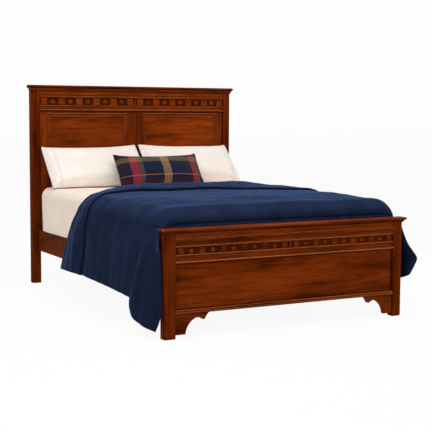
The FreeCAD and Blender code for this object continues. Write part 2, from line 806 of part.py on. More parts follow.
def make_mattress_set():
    """Foundation, mattress and the sheet that hangs to the side rails."""
    half = mattress_width / 2
    write("foundation", plan_block(half - 2, mattress_foot, mattress_head, slat_top + soft_gap,
                                   mattress_bottom, mattress_corner))
    write("mattress", soft_block(half, mattress_foot, mattress_head, mattress_bottom + soft_gap,
                                 mattress_top, mattress_corner, mattress_edge_round))
    end = sheet_end_ease + sheet_thickness
    low = rail_top + sheet_hem_gap
    outside = soft_block(sheet_half, sheet_foot, mattress_head + end, low, sheet_top,
                         mattress_corner, sheet_edge_round)
    inside = soft_block(sheet_half - sheet_thickness, mattress_foot - sheet_end_ease,
                        mattress_head + sheet_end_ease, low - 1, sheet_top - sheet_thickness,
                        mattress_corner - sheet_thickness, sheet_edge_round - sheet_thickness)
    write("sheet", outside.cut(inside))


def foot_bend():
    """Radius of the comforter's underside where it turns down at the foot."""
    return sheet_edge_round + comforter_foot_gap


def drape_line(half, edge, shoulder, top, crown, left, right):
    """Steps from the right hem up, over the crowned top and down to the left hem."""
    belly = comforter_belly
    turn = edge * (1 - math.cos(math.radians(45)))
    lift = (top - shoulder) * math.sin(math.radians(45))
    return [
        (((half + right[0]) / 2 + belly, (shoulder + right[1]) / 2), (half, shoulder)),
        ((half - turn, shoulder + lift), (half - edge, top)),
        ((0, top + crown), (edge - half, top)),
        ((turn - half, shoulder + lift), (-half, shoulder)),
        ((-(half + left[0]) / 2 - belly, (shoulder + left[1]) / 2), (-left[0], left[1])),
    ]


def drape_section(y, left, right, fold, dip, walled):
    """A closed slice across the comforter, its underside lowered by a dip at the foot end.

    A walled slice is filled down to the side rails.
    """
    thick = comforter_thickness + fold
    edge = comforter_edge_round
    roof = sheet_top + soft_gap
    shoulder = roof - edge - comforter_shoulder_drop
    radius = foot_bend() + comforter_thickness
    run = max(sheet_foot + sheet_edge_round - y, 0.0)
    outer_top = roof + thick - radius + math.sqrt(max(radius ** 2 - run ** 2, 0.0))
    inner_top = roof - dip
    left_in = (left[0] - thick, left[1])
    right_in = (right[0] - thick, right[1])
    steps = drape_line(comforter_half + thick, edge + thick, shoulder, outer_top,
                       comforter_crown + comforter_loft, left, right)
    steps.append((-left_in[0], left_in[1]))
    if walled:
        level = sheet_top - comforter_foot_drop
        steps += [(-comforter_half, level), (comforter_half, level), right_in]
    else:
        under = drape_line(comforter_half, edge, shoulder, inner_top, comforter_crown,
                           right_in, left_in)
        steps += [((-middle[0], middle[1]), (-end[0], end[1])) for middle, end in under]
    return wire("xz", y, right, *steps)


def foot_corner(side, low, slices):
    """A corner of the comforter hanging past a foot post; side is +1 on the right."""
    wires = []
    for y, x_top, z_top, x_low, rise, belly, thick in slices:
        z_low = low + rise
        middle = ((x_top + x_low) / 2 + belly, (z_top + z_low) / 2)
        outline = [(x_low, z_low), (middle, (x_top, z_top)), (x_top - thick, z_top),
                   (x_low - thick, z_low)]
        wires.append(wire("xz", y, *outline))
    corner = Part.makeLoft(wires, True, True)
    return corner if side > 0 else mirrored(corner)


def comforter_slices():
    """Where the slices along the bed lie, and both hems there: a low corner at the left foot,
    then shallow folds that swell and sink in turn."""
    side = comforter_half + comforter_thickness + comforter_flare
    hem = comforter_hem
    wall = sheet_foot - comforter_foot_gap
    bend = foot_bend()
    near = bend * math.tan(math.radians(15))
    fold_start = comforter_head_edge - comforter_fold_width
    corner = wall + comforter_corner_length
    low = comforter_corner_hem
    slices = [(wall, (side, low), (side, hem + 10), 0.0, bend - near),
              (wall + near, (side, low + 4), (side, hem + 8), 0.0, near),
              (wall + bend - near, (side, low + 8), (side, hem + 4), 0.0, 0.0),
              (corner, (side + 7, low + 32), (side - 5, hem), 0.0, 0.0)]
    first = corner + 33
    last = fold_start - 6
    for index in range(5):
        swell = comforter_swell * (-1) ** index
        y = first + (last - first) * index / 4
        slices.append((y, (side - swell, hem - 14 + 4 * index), (side + swell, hem), 0.0, 0.0))
    for index in range(4):
        swell = comforter_swell * (-1) ** index
        y = fold_start + (comforter_fold_width + 5) * index / 3
        slices.append((y, (side + 14 - swell + 5 * index, hem + 2), (side + 14 + swell, hem),
                       comforter_fold_extra, 0.0))
    return slices


def make_comforter():
    """The comforter: top, two hanging sides, foot drop, foot corners and turned-back band.

    It is one cloth, divided at the foot into three solids that meet face to face: the drop
    behind the footboard, and the two corners that hang past its posts.
    """
    slices = comforter_slices()
    body = Part.makeLoft([drape_section(*one, False) for one in slices], True, True)
    wall, left, right, fold, dip = slices[0]
    depths = [wall, wall - comforter_thickness / 2, wall - comforter_thickness]
    drop = Part.makeLoft([drape_section(y, left, right, fold, dip, True) for y in depths],
                         True, True)
    reach = comforter_reach
    free = post_outer + cap_overhang_side + post_clearance
    past = foot_back + post_clearance + 4
    thick = comforter_thickness
    right_corner = foot_corner(1, comforter_hem, [
        (wall + 14, free - 14, 540, right[0] - 3, 12, 4, 9),
        (wall - 6, free + 6, 520, free + 34, 26, 5, 11),
        (past, free + 33, 485, free + 48, 42, 6, thick),
        (past - 24, reach - 20, 425, reach - 20, 42, 16, thick),
        (past - 48, reach - 7, 385, reach - 12, 110, 6, 9)])
    left_corner = foot_corner(-1, comforter_corner_hem, [
        (wall + 14, free - 14, 540, left[0] - 3, 4, 4, 9),
        (wall - 6, free + 6, 520, free + 34, 2, 5, 11),
        (past, free + 33, 485, free + 44, 0, 6, thick),
        (past - 22, free + 36, 430, free + 46, -6, 8, thick),
        (past - 44, free + 36, 380, free + 44, -10, 6, 9)])
    swing = comforter_head_edge - comforter_fold_slant
    brow = comforter_half - comforter_edge_round
    edge = prism("xy", 0, head_height,
                 (-reach - 50, foot_front), (reach + 50, foot_front), (reach + 50, swing),
                 (comforter_half + 10, swing),
                 ((comforter_half - 40, swing + comforter_fold_slant * 0.55),
                  (brow - 60, comforter_head_edge - 22)),
                 ((0, comforter_head_edge), (60 - brow, comforter_head_edge - 22)),
                 ((40 - comforter_half, swing + comforter_fold_slant * 0.55),
                  (-comforter_half - 10, swing)),
                 (-reach - 50, swing))
    cloth = body.common(edge).fuse([drop, right_corner, left_corner])
    split = free + 0.5
    ahead = box(-reach - 50, reach + 50, wall - 200, wall, 0, head_height)
    behind_board = box(-split, split, wall - 200, wall, 0, head_height)
    write("comforter", cloth.cut(ahead))
    write("comforter_foot_drop", cloth.common(behind_board))
    write("comforter_foot_corners", cloth.common(ahead.cut(behind_board)))


def cushion(width, height, depth):
    """A pillow standing on its long edge: full in the middle, drawn in between its corners.

    It is the part that three outlines share: a lens seen from the end, a longer lens seen from
    above, and a face whose four sides bow inward.
    """
    half = width / 2
    bulge = depth * 0.95
    pull = height * 0.03
    end_view = prism("yz", -half, half, (0, 0), ((-depth / 2, height / 2), (0, height)),
                     ((depth / 2, height / 2), (0, 0)))
    top_view = prism("xy", 0, height, (-half, 0), ((0, -bulge), (half, 0)),
                     ((0, bulge), (-half, 0)))
    face = prism("xz", -depth, depth, (-half, 0), ((0, pull), (half, 0)),
                 ((half - pull, height / 2), (half, height)), ((0, height - pull), (-half, height)),
                 ((pull - half, height / 2), (-half, 0)))
    return end_view.common(top_view).common(face)


def lean_on(shape, x, seam_y):
    """Leans a cushion back and seats it on the sheet with its lower seam at a given place."""
    shape.rotate(Vec(0, 0, 0), Vec(1, 0, 0), -pillow_lean)
    lowest = shape.optimalBoundingBox(False, False).ZMin
    shape.translate(Vec(x, seam_y, sheet_top + soft_gap - lowest))
    return shape


def make_pillows():
    """Two white pillows against the headboard and a checked cushion in front of them."""
    lean = math.radians(pillow_lean)
    pillow_seam = head_front - pillow_wall_gap - pillow_height * math.sin(lean)
    offset = (pillow_depth + lumbar_depth) / 2 - lumbar_nestle
    lumbar_seam = pillow_seam - offset / math.cos(lean)
    across = pillow_width - 2 * pillow_side_gap
    pillow = lean_on(cushion(across, pillow_height, pillow_depth), pillow_width / 2, pillow_seam)
    write("pillow_right", pillow)
    write("pillow_left", mirrored(pillow))
    write("checked_cushion",
          lean_on(cushion(lumbar_width, lumbar_height, lumbar_depth), lumbar_shift, lumbar_seam))


def make_bed():
    """Writes every node of the bed."""
    os.makedirs("parts", exist_ok=True)
    make_footboard()
    make_headboard()
    make_rails()
    make_slats()
    make_mattress_set()
    make_comforter()
    make_pillows()


make_bed()
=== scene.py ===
"""A dressed double panel bed: the look of its stained cherry frame and its bedding.

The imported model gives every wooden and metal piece. This file gives them their finishes, cuts the
frieze's rosettes and the screws, and makes the bedding: foundation, mattress, sheet, comforter,
two pillows and a checked cushion. Lengths are in millimetres in the sizes and in metres in meshes.
"""
from __future__ import annotations

import logging
import math
from dataclasses import dataclass, field
from enum import Enum
from typing import Any

import bmesh
import bpy
import numpy as np
from mathutils import Matrix, Vector


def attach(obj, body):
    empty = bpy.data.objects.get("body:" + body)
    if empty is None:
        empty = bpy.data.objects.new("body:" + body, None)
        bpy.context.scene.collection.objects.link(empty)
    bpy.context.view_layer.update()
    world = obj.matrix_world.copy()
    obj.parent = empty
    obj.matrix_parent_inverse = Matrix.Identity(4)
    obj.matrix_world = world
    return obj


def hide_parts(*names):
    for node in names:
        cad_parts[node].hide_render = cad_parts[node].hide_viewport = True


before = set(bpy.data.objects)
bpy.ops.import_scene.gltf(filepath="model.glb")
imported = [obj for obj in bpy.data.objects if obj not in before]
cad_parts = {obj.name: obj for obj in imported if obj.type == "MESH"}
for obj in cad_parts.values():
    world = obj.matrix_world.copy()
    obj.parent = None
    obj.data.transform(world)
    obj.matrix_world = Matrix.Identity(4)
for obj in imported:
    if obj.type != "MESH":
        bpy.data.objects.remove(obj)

Tree, Node, Socket = bpy.types.NodeTree, bpy.types.Node, bpy.types.NodeSocket
Point = tuple[float, float, float]
Points = tuple[Point, ...]
Pairs = tuple[tuple[float, float], ...]
Colour = tuple[float, float, float, float]

MM = 0.001
REPORT = logging.getLogger("panel_bed")

# Heights and places that several pieces share, in mm, as the frame has them.
SHEET_TOP = 654.4
SHEET_FOOT = -955.5
HEAD_FACE = 996.5
MATTRESS_FOOT = -949.5
MATTRESS_HEAD = 955.5


# ---------------------------------------------------------------- colours, nodes and meshes
def linear(code: str) -> Colour:
    """Turns an sRGB hex colour into the linear colour that shaders take.

    Args:
        code: six hex digits after a hash sign.

    Returns:
        Red, green, blue and an alpha of 1.
    """
    parts = [int(code[i:i + 2], 16) / 255 for i in (1, 3, 5)]
    lin = [c / 12.92 if c <= 0.04045 else ((c + 0.055) / 1.055) ** 2.4 for c in parts]
    return (lin[0], lin[1], lin[2], 1.0)


def add(tree: Tree, kind: str, fill: dict[Any, Any] | None = None,
        **options: Any) -> Node:
    """Adds one shader node, sets its options, and fills or links its inputs.

    Args:
        tree: the material's node tree.
        kind: the node's type, without the word ShaderNode.
        fill: for each input's name or number, a value to set or an output to link from.
        **options: the node's own settings.

    Returns:
        The new node.
    """
    node = tree.nodes.new("ShaderNode" + kind)
    for name, value in options.items():
        setattr(node, name, value)
    plug(tree, node, fill or {})
    return node


def plug(tree: Tree, node: Node, fill: dict[Any, Any]) -> None:
    """Sets a node's inputs to values, or links them from other nodes' outputs."""
    for key, value in fill.items():
        if isinstance(value, Socket):
            tree.links.new(value, node.inputs[key])
        else:
            node.inputs[key].default_value = value


def noise(tree: Tree, place: Socket, scale: float, detail: float,
          roughness: float = 0.5, distortion: float = 0.0) -> Socket:
    """A cloudy noise, with about as many clouds to the metre as its scale says."""
    return add(tree, "TexNoise", {"Vector": place, "Scale": scale, "Detail": detail,
                                  "Roughness": roughness, "Distortion": distortion}).outputs["Fac"]


def ramp(tree: Tree, share: Socket,
         stops: list[tuple[float, tuple[float, ...]]], kind: str = "LINEAR") -> Socket:
    """A colour ramp's colour.

    Args:
        tree: the material's node tree.
        share: the number from 0 to 1 that it turns into a colour.
        stops: a place from 0 to 1 and a linear colour for each stop, in order.
        kind: how it goes from stop to stop.

    Returns:
        The colour.
    """
    node = add(tree, "ValToRGB", {"Fac": share})
    node.color_ramp.interpolation = kind
    elements = node.color_ramp.elements
    while len(elements) < len(stops):
        elements.new(1.0)
    for element, (place, colour) in zip(elements, stops):
        element.position = place
        element.color = colour
    return node.outputs[0]


def calc(tree: Tree, operation: str, *values: Any) -> Socket:
    """One sum on numbers or outputs, such as MULTIPLY."""
    return add(tree, "Math", dict(enumerate(values)), operation=operation).outputs[0]


def remap(tree: Tree, value: Socket, start: float, end: float,
          to_start: float = 0.0, to_end: float = 1.0, **options: Any) -> Socket:
    """Carries the values from start to end over to the values from to_start to to_end."""
    return add(tree, "MapRange", {"Value": value, "From Min": start, "From Max": end,
                                  "To Min": to_start, "To Max": to_end}, **options).outputs[0]


def mix(tree: Tree, share: Any, first: Any, second: Any,
        how: str = "MIX") -> Socket:
    """Two colours mixed, or multiplied where how is MULTIPLY."""
    return add(tree, "Mix", {0: share, 6: first, 7: second}, data_type="RGBA",
               blend_type=how).outputs[2]


def bump(tree: Tree, height: Socket, strength: float, distance: float,
         *normal: Socket) -> Socket:
    """A normal made uneven by a height, on top of another normal where one is given."""
    under = {"Normal": normal[0]} if normal else {}
    return add(tree, "Bump", {"Height": height, "Strength": strength, "Distance": distance,
                              **under}).outputs[0]


def band_scale(spacing: float) -> float:
    """The wave texture's scale that puts its bands this many mm apart."""
    return 2 * math.pi * 1000 / spacing / 20


def grey(level: float) -> Colour:
    """A grey of a given linear level, for ramps that hold plain numbers."""
    return (level, level, level, 1.0)


def grid_faces(rows: int, columns: int, round_rows: bool = False,
               round_columns: bool = False) -> np.ndarray:
    """Numbers the quads of a grid whose points are stored row by row.

    Args:
        rows: number of rows of points.
        columns: points in a row.
        round_rows: joins the last row to the first.
        round_columns: joins the last column to the first.

    Returns:
        One line of four point numbers for each quad.
    """
    i = np.arange(rows if round_rows else rows - 1)
    j = np.arange(columns if round_columns else columns - 1)
    a, b = (part.ravel() for part in np.meshgrid(i, j, indexing="ij"))
    c, d = (a + 1) % rows, (b + 1) % columns
    return np.stack([a * columns + b, a * columns + d, c * columns + d, c * columns + b], -1)


def new_piece(name: str, patches: list[tuple[np.ndarray, np.ndarray]], weld: float = 1e-5,
              smooth: bool = True) -> bpy.types.Object:
    """Makes one mesh object out of patches of points (in metres) and faces.

    Args:
        name: the piece's name.
        patches: pairs of an (n, 3) array of points and an (m, 4) or (m, 3) array of faces.
        weld: points closer than this are merged.
        smooth: shades the piece smooth.

    Returns:
        The linked object, at the origin.
    """
    start = 0
    points, corners, sizes = [], [], []
    for spots, faces in patches:
        points.append(spots.reshape(-1, 3))
        corners.append((faces + start).ravel())
        sizes.append(np.full(len(faces), faces.shape[1]))
        start += len(points[-1])
    flat = np.concatenate(points).astype(np.float32)
    loops = np.concatenate(corners).astype(np.int32)
    counts = np.concatenate(sizes).astype(np.int32)
    mesh = bpy.data.meshes.new(name)
    mesh.vertices.add(len(flat))
    mesh.vertices.foreach_set("co", flat.ravel())
    mesh.loops.add(len(loops))
    mesh.loops.foreach_set("vertex_index", loops)
    mesh.polygons.add(len(counts))
    starts = np.concatenate([[0], np.cumsum(counts)[:-1]]).astype(np.int32)
    mesh.polygons.foreach_set("loop_start", starts)
    mesh.update(calc_edges=True)
    mesh.validate()
    build = bmesh.new()
    build.from_mesh(mesh)
    bmesh.ops.remove_doubles(build, verts=build.verts, dist=weld)
    loose = [v for v in build.verts if not v.link_faces]
    bmesh.ops.delete(build, geom=loose, context="VERTS")
    bmesh.ops.recalc_face_normals(build, faces=build.faces)
    build.to_mesh(mesh)
    build.free()
    mesh.polygons.foreach_set("use_smooth", np.full(len(mesh.polygons), smooth))
    mesh.update()
    piece = bpy.data.objects.new(name, mesh)
    bpy.context.scene.collection.objects.link(piece)
    return piece


def points_of(mesh: bpy.types.Mesh) -> np.ndarray:
    """The mesh's points as an (n, 3) array in metres."""
    flat = np.empty(len(mesh.vertices) * 3, np.float32)
    mesh.vertices.foreach_get("co", flat)
    return flat.reshape(-1, 3).astype(float)


def settle(piece: bpy.types.Object, name: str, body: str, slot: str, finish: "Finish",
           *stands_for: str) -> None:
    """Hands a finished piece over: its name, finish, body and the nodes it replaces.

    Args:
        piece: the object.
        name: its name in the report.
        body: the body it moves with.
        slot: not used.
        finish: its finish.
        *stands_for: nodes that it replaces.
    """
    piece.name = name
    piece.data.materials.clear()
    piece.data.materials.append(finish.material())
    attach(piece, body)
    if stands_for:
        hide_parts(*stands_for)
    REPORT.info("%s: %d points", name, len(piece.data.vertices))


def smoothstep(low: float, high: float, value: np.ndarray) -> np.ndarray:
    """Rises from 0 at low to 1 at high along a cubic with level ends."""
    t = np.clip((value - low) / (high - low), 0.0, 1.0)
    return t * t * (3 - 2 * t)


def ripple(x: np.ndarray, y: np.ndarray, waves: list[Colour]) -> np.ndarray:
    """A soft uneven height: a sum of sine waves that run in several directions.

    Args:
        x: first coordinate, in mm.
        y: second coordinate, in mm.
        waves: for each wave its height in mm, length in mm, direction and phase in radians.

    Returns:
        The height at each point, in mm.
    """
    total = np.zeros_like(x)
    for height, length, direction, phase in waves:
        along = x * math.cos(direction) + y * math.sin(direction)
        total = total + height * np.sin(2 * math.pi * along / length + phase)
    return total


def curve_at(places: Any, values: Any, where: Any) -> np.ndarray:
    """A smooth line through known values: between two places a cubic that leaves and reaches
    them with the slope of the values on either side.

    Args:
        places: rising places of the known values.
        values: a number or a point for each place.
        where: the places asked for; beyond the ends the end values hold.

    Returns:
        The value at each place asked for.
    """
    at, known = np.asarray(places, float), np.asarray(values, float)
    slope = np.gradient(known, at, axis=0)
    spot = np.clip(np.asarray(where, float), at[0], at[-1])
    i = np.clip(np.searchsorted(at, spot, "right") - 1, 0, len(at) - 2)
    gap = at[i + 1] - at[i]
    t = (spot - at[i]) / gap
    if known.ndim > 1:
        t, gap = t[..., None], gap[..., None]
    ease = t * t * (3 - 2 * t)
    return (known[i] * (1 - ease) + known[i + 1] * ease
            + gap * (t * (1 - t) ** 2 * slope[i] - t * t * (1 - t) * slope[i + 1]))


def border(points: Any, share: np.ndarray) -> np.ndarray:
    """A smooth border line through points, told by the share of its length that lies behind.

    Args:
        points: (n, 3) points in mm.
        share: values from 0 to 1.

    Returns:
        A point for each share.
    """
    known = np.array(points, float)
    run = np.concatenate([[0], np.cumsum(np.linalg.norm(np.diff(known, axis=0), axis=1))])
    return curve_at(run / run[-1], known, share)


def stretched(left: np.ndarray, right: np.ndarray, top: np.ndarray, bottom: np.ndarray,
              p: np.ndarray, q: np.ndarray) -> np.ndarray:
    """A cloth stretched between four border lines: the blend from left to right, plus the blend
    from top to bottom, less the blend of the four corners.

    Args:
        left: points down the left border, one for each q.
        right: points down the right border.
        top: points along the top border, one for each p.
        bottom: points along the bottom border.
        p: shares from left to right.
        q: shares from top to bottom.

    Returns:
        Rows (down) by columns (across) by 3.
    """
    u, v = p[None, :, None], q[:, None, None]
    sides = (1 - u) * left[:, None] + u * right[:, None]
    ends = (1 - v) * top[None] + v * bottom[None]
    corners = ((1 - u) * ((1 - v) * top[0] + v * bottom[0])
               + u * ((1 - v) * top[-1] + v * bottom[-1]))
    return sides + ends - corners


# ---------------------------------------------------------------- finishes
class Grain(Enum):
    """Which axis a board's grain runs along: across the bed, along it, or upright."""

    ACROSS = 0
    ALONG = 1
    UPRIGHT = 2

    def stretch(self, share: float) -> tuple[float, ...]:
        """The scales that draw a pattern out along the grain; a smaller share draws it longer."""
        return tuple(share if axis == self.value else 1.0 for axis in range(3))


@dataclass(frozen=True)
class Finish:
    """What every finish has: a name, and a material made once and used again."""

    name: str

    def material(self) -> bpy.types.Material:
        """The finish's material, made the first time it is asked for."""
        known = bpy.data.materials.get(self.name)
        if known:
            return known
        made = bpy.data.materials.new(self.name)
        made.use_nodes = True
        tree = made.node_tree
        tree.nodes.clear()
        shader = add(tree, "BsdfPrincipled")
        add(tree, "OutputMaterial", {"Surface": shader.outputs["BSDF"]})
        self.fill(tree, shader)
        return made

    def fill(self, tree: Tree, shader: Node) -> None:
        """Sets the shader's numbers and links its patterns; each finish has its own."""
        raise NotImplementedError


@dataclass(frozen=True)
class StainedCherry(Finish):
    """Cherry with a red-brown stain, a dark glaze and painted shade in the quirks, and a satin lacquer.

    Sawn boards, stained and glazed: cloudy figure along the grain, painted nearly black in the hollows
    where shade falls, a painted highlight along the edges that face up, and a soft shine.
    """

    grain: Grain = Grain.ACROSS
    shift: float = 0.0
    tone: float = 1.0
    # A painted highlight along sharp edges: its strength, and the radius in mm within which an edge
    # counts as one.
    painted_highlight_strength: float = 0.55
    painted_highlight_radius: float = 2.2
    # Heights between which the dark glaze and painted shade are laid, and how much: a frieze's field,
    # and moulded quirks.
    bands: Points = ()
    dark: str = "#3A1403"
    middle: str = "#6E2A08"
    bright: str = "#82360E"
    # The dark colour painted into the hollows, part glaze and part painted shade, and then the painted
    # highlight's colour on the edges.
    glaze_and_painted_shade: str = "#1A0702"
    painted_highlight_colour: str = "#C0703F"
    # How much painted highlight upright edges get against edges that face up, and the most glaze and
    # painted shade a hollow gets.
    side_painted_highlight: float = 0.06
    most_glaze_and_painted_shade: float = 0.96

    def toned(self, code: str) -> Colour:
        """A stain colour made lighter or darker for this board, for its stain and for painted light and
        shade.
        """
        return tuple(c * self.tone for c in linear(code)[:3]) + (1.0,)

    def figure(self, tree: Tree, place: Socket) -> tuple[Any, Any, Any]:
        """The stained board: figure about 90 mm wide, streaks about 16 mm and pores about 2.4 mm,
        all drawn out ten times along the grain, with darker clouds where stain pooled.

        Args:
            tree: the material's node tree.
            place: the Object coordinates.

        Returns:
            The colour, and the streaks' and the pores' heights.
        """
        stretch = self.grain.stretch(0.1)
        start = (self.shift, self.shift * 0.7, self.shift * 1.3)
        long, wide = (add(tree, "Mapping", {"Vector": place, "Location": start,
                                            "Scale": scales}).outputs[0]
                      for scales in (stretch, tuple(0.35 + 0.65 * v for v in stretch)))
        streak = noise(tree, long, 62.0, 4.0, 0.6, 0.1)
        tone = ramp(tree, noise(tree, long, 11.0, 5.0, 0.6, 0.1),
                    [(0.28, self.toned(self.dark)), (0.45, self.toned(self.middle)),
                     (0.75, self.toned(self.bright))])
        thread = ramp(tree, streak, [(0.32, grey(0.60)), (0.5, grey(0.92)), (0.68, grey(1.15))])
        pooled = ramp(tree, noise(tree, wide, 6.5, 3.0),
                      [(0.34, grey(0.68)), (0.52, grey(1.0)), (0.7, grey(1.12))])
        streaked = mix(tree, 1.0, tone, thread, "MULTIPLY")
        stained = mix(tree, 1.0, streaked, pooled, "MULTIPLY")
        return stained, streak, noise(tree, long, 420.0, 2.0)

    def glaze_and_painted_shade_share(self, tree: Tree, place: Socket) -> Socket:
        """How much of the dark colour, part glaze and part painted shade, is laid: nearly all of it in
        the corners that an occlusion test finds, none on open faces, and each band's share between its
        two heights."""
        # An occlusion test finds the hollows, where shade falls, and paints them dark: painted shade.
        hollow = add(tree, "AmbientOcclusion", {"Distance": 0.014}, samples=8, only_local=False)
        most = remap(tree, hollow.outputs["AO"], 0.42, 0.93, self.most_glaze_and_painted_shade, 0.0)
        height = add(tree, "SeparateXYZ", {"Vector": place}).outputs["Z"]
        soft = 0.6
        for low, high, share in self.bands:
            half = (high - low) / 2
            distance = calc(tree, "ABSOLUTE", calc(tree, "ADD", height, -(low + high) / 2 * MM))
            band = remap(tree, distance, (half + soft) * MM, (half - soft) * MM, 0.0, share)
            most = calc(tree, "MAXIMUM", most, band)
        return most

    def fill(self, tree: Tree, shader: Node) -> None:
        """Stain, then glaze and painted shade in the hollows, then a painted highlight along sharp
        edges, strongest on open edges that face up, which a rounded normal finds where it parts from the
        true one."""
        place = add(tree, "TexCoord").outputs["Object"]
        stained, streak, pores = self.figure(tree, place)
        # Painted shade: the dark glaze colour laid into the hollows.
        glazed_and_shaded = mix(tree, self.glaze_and_painted_shade_share(tree, place), stained, linear(self.glaze_and_painted_shade))
        rounded = add(tree, "Bevel", {"Radius": self.painted_highlight_radius * MM}, samples=4).outputs[0]
        true = add(tree, "NewGeometry").outputs["Normal"]
        match = add(tree, "VectorMath", {0: rounded, 1: true}, operation="DOT_PRODUCT")
        open_face = add(tree, "AmbientOcclusion", {"Distance": 0.003}, samples=4)
        slope = add(tree, "SeparateXYZ", {"Vector": rounded})
        # Painted highlight: open edges that face up are made paler, as if lit from above.
        edge = remap(tree, match.outputs["Value"], 0.99, 0.93, 0.0, self.painted_highlight_strength)
        outer = remap(tree, open_face.outputs["AO"], 0.55, 0.85)
        upper = remap(tree, slope.outputs["Z"], 0.12, 0.5, self.side_painted_highlight, 1.0)
        painted_highlight_mask = calc(tree, "MULTIPLY", calc(tree, "MULTIPLY", edge, outer), upper)
        plug(tree, shader, {"Base Color": mix(tree, painted_highlight_mask, glazed_and_shaded, linear(self.painted_highlight_colour)),
                            "Roughness": remap(tree, streak, 0.0, 1.0, 0.30, 0.44),
                            "Normal": bump(tree, pores, 0.25, 0.0005),
                            "IOR": 1.45, "Specular IOR Level": 0.006})


@dataclass(frozen=True)
class PlainPoplar(Finish):
    """Sanded, unfinished poplar for slats, cleats, legs and glue blocks: pale and matt."""

    grain: Grain = Grain.ACROSS

    def fill(self, tree: Tree, shader: Node) -> None:
        """Bands of growth about 12 mm wide, drawn out along the grain."""
        place = add(tree, "TexCoord").outputs["Object"]
        long = add(tree, "Mapping", {"Vector": place, "Scale": self.grain.stretch(0.08)})
        growth = noise(tree, long.outputs[0], 85.0, 5.0, 0.55, 0.4)
        tone = ramp(tree, growth, [(0.3, linear("#A98357")), (0.55, linear("#C9A77A")),
                                   (0.75, linear("#D8BC92"))])
        plug(tree, shader, {"Base Color": tone, "Normal": bump(tree, growth, 0.2, 0.0005),
                            "Roughness": 0.7, "Specular IOR Level": 0.3})


@dataclass(frozen=True)
class ZincSteel(Finish):
    """Pressed steel with bright zinc plating: grey metal with a faint spangle."""

    def fill(self, tree: Tree, shader: Node) -> None:
        """Crystals of plating about 2 mm across."""
        place = add(tree, "TexCoord").outputs["Object"]
        spangle = add(tree, "TexVoronoi", {"Vector": place, "Scale": 480.0})
        crystal = spangle.outputs["Distance"]
        tone = ramp(tree, crystal, [(0.0, linear("#B9BDBF")), (1.0, linear("#CFD2D2"))])
        plug(tree, shader, {"Base Color": tone, "Metallic": 1.0,
                            "Roughness": remap(tree, crystal, 0.0, 1.0, 0.28, 0.42)})


@dataclass(frozen=True)
class MouldedNylon(Finish):
    """Black moulded nylon for the levelling glides: matt, with fine moulded grit."""

    def fill(self, tree: Tree, shader: Node) -> None:
        """Grit of about 0.8 mm, drawn coarser than real so that it shows."""
        place = add(tree, "TexCoord").outputs["Object"]
        grit = noise(tree, place, 1200.0, 2.0)
        tone = ramp(tree, grit, [(0.3, linear("#1B1B1C")), (0.7, linear("#262627"))])
        plug(tree, shader, {"Base Color": tone, "Normal": bump(tree, grit, 0.15, 0.0004),
                            "Roughness": 0.55})


@dataclass(frozen=True)
class WovenCloth(Finish):
    """A plain or sateen cloth: two crossing sets of threads, soft shade and a little sheen."""

    low: str = "#E9DCCB"
    high: str = "#F6EEE4"
    thread: float = 1.6
    relief: float = 0.3
    sheen: float = 0.05
    sheen_tint: str = "#FFFFFF"
    sheen_rough: float = 0.4
    gloss: float = 0.1
    rough: float = 0.85
    crumple: float = 0.6
    cloud: float = 7.0
    lean: float = 0.0
    # How much lighter the colour is painted where the cloth faces up: painted light from above.
    nap: float = 0.0
    seams: tuple[float, ...] = ()
    seam_width: float = 3.0

    def fill(self, tree: Tree, shader: Node) -> None:
        """Threads are drawn at 1.6 mm or more, coarser than real, so that they show. The nap setting
        paints light into the colour: lighter where the cloth faces up, as light from above makes it, and
        left at its own colour where it hangs."""
        coords = add(tree, "TexCoord").outputs
        place = coords["Object"]
        turned = add(tree, "Mapping", {"Vector": place,
                                       "Rotation": (math.radians(self.lean), 0, 0)}).outputs[0]
        warp, weft = (add(tree, "TexWave", {"Vector": turned, "Scale": band_scale(self.thread),
                                            "Distortion": 0.6, "Detail": 1.0},
                          bands_direction=way).outputs["Fac"] for way in "XY")
        mottle = calc(tree, "MULTIPLY", noise(tree, place, self.cloud, 4.0, 0.55), 0.65)
        uneven = calc(tree, "MULTIPLY_ADD", noise(tree, turned, 240.0, 2.0), 0.35, mottle)
        tone = ramp(tree, uneven, [(0.32, linear(self.low)), (0.68, linear(self.high))])
        upward = add(tree, "SeparateXYZ", {"Vector": coords["Normal"]}).outputs["Z"]
        # Painted light: the colour is made lighter where the cloth faces up.
        painted_top_light = remap(tree, upward, 0.05, 0.6, 1.0, 1.0 + self.nap)
        fine = bump(tree, calc(tree, "ADD", warp, weft), self.relief, 0.0004)
        normal = bump(tree, noise(tree, place, 9.0, 3.0, 0.5, 0.5), self.crumple, 0.006, fine)
        if self.seams:
            across = add(tree, "SeparateXYZ", {"Vector": place}).outputs["X"]
            for seam in self.seams:
                off = calc(tree, "ABSOLUTE", calc(tree, "SUBTRACT", across, seam * MM))
                line = remap(tree, off, 0.0, self.seam_width * MM, interpolation_type="SMOOTHSTEP")
                normal = bump(tree, line, 0.9, 0.0025, normal)
        plug(tree, shader, {"Base Color": mix(tree, 1.0, tone, painted_top_light, "MULTIPLY"),
                            "Normal": normal, "Roughness": self.rough,
                            "Specular IOR Level": self.gloss, "Sheen Weight": self.sheen,
                            "Sheen Roughness": self.sheen_rough,
                            "Sheen Tint": linear(self.sheen_tint)})


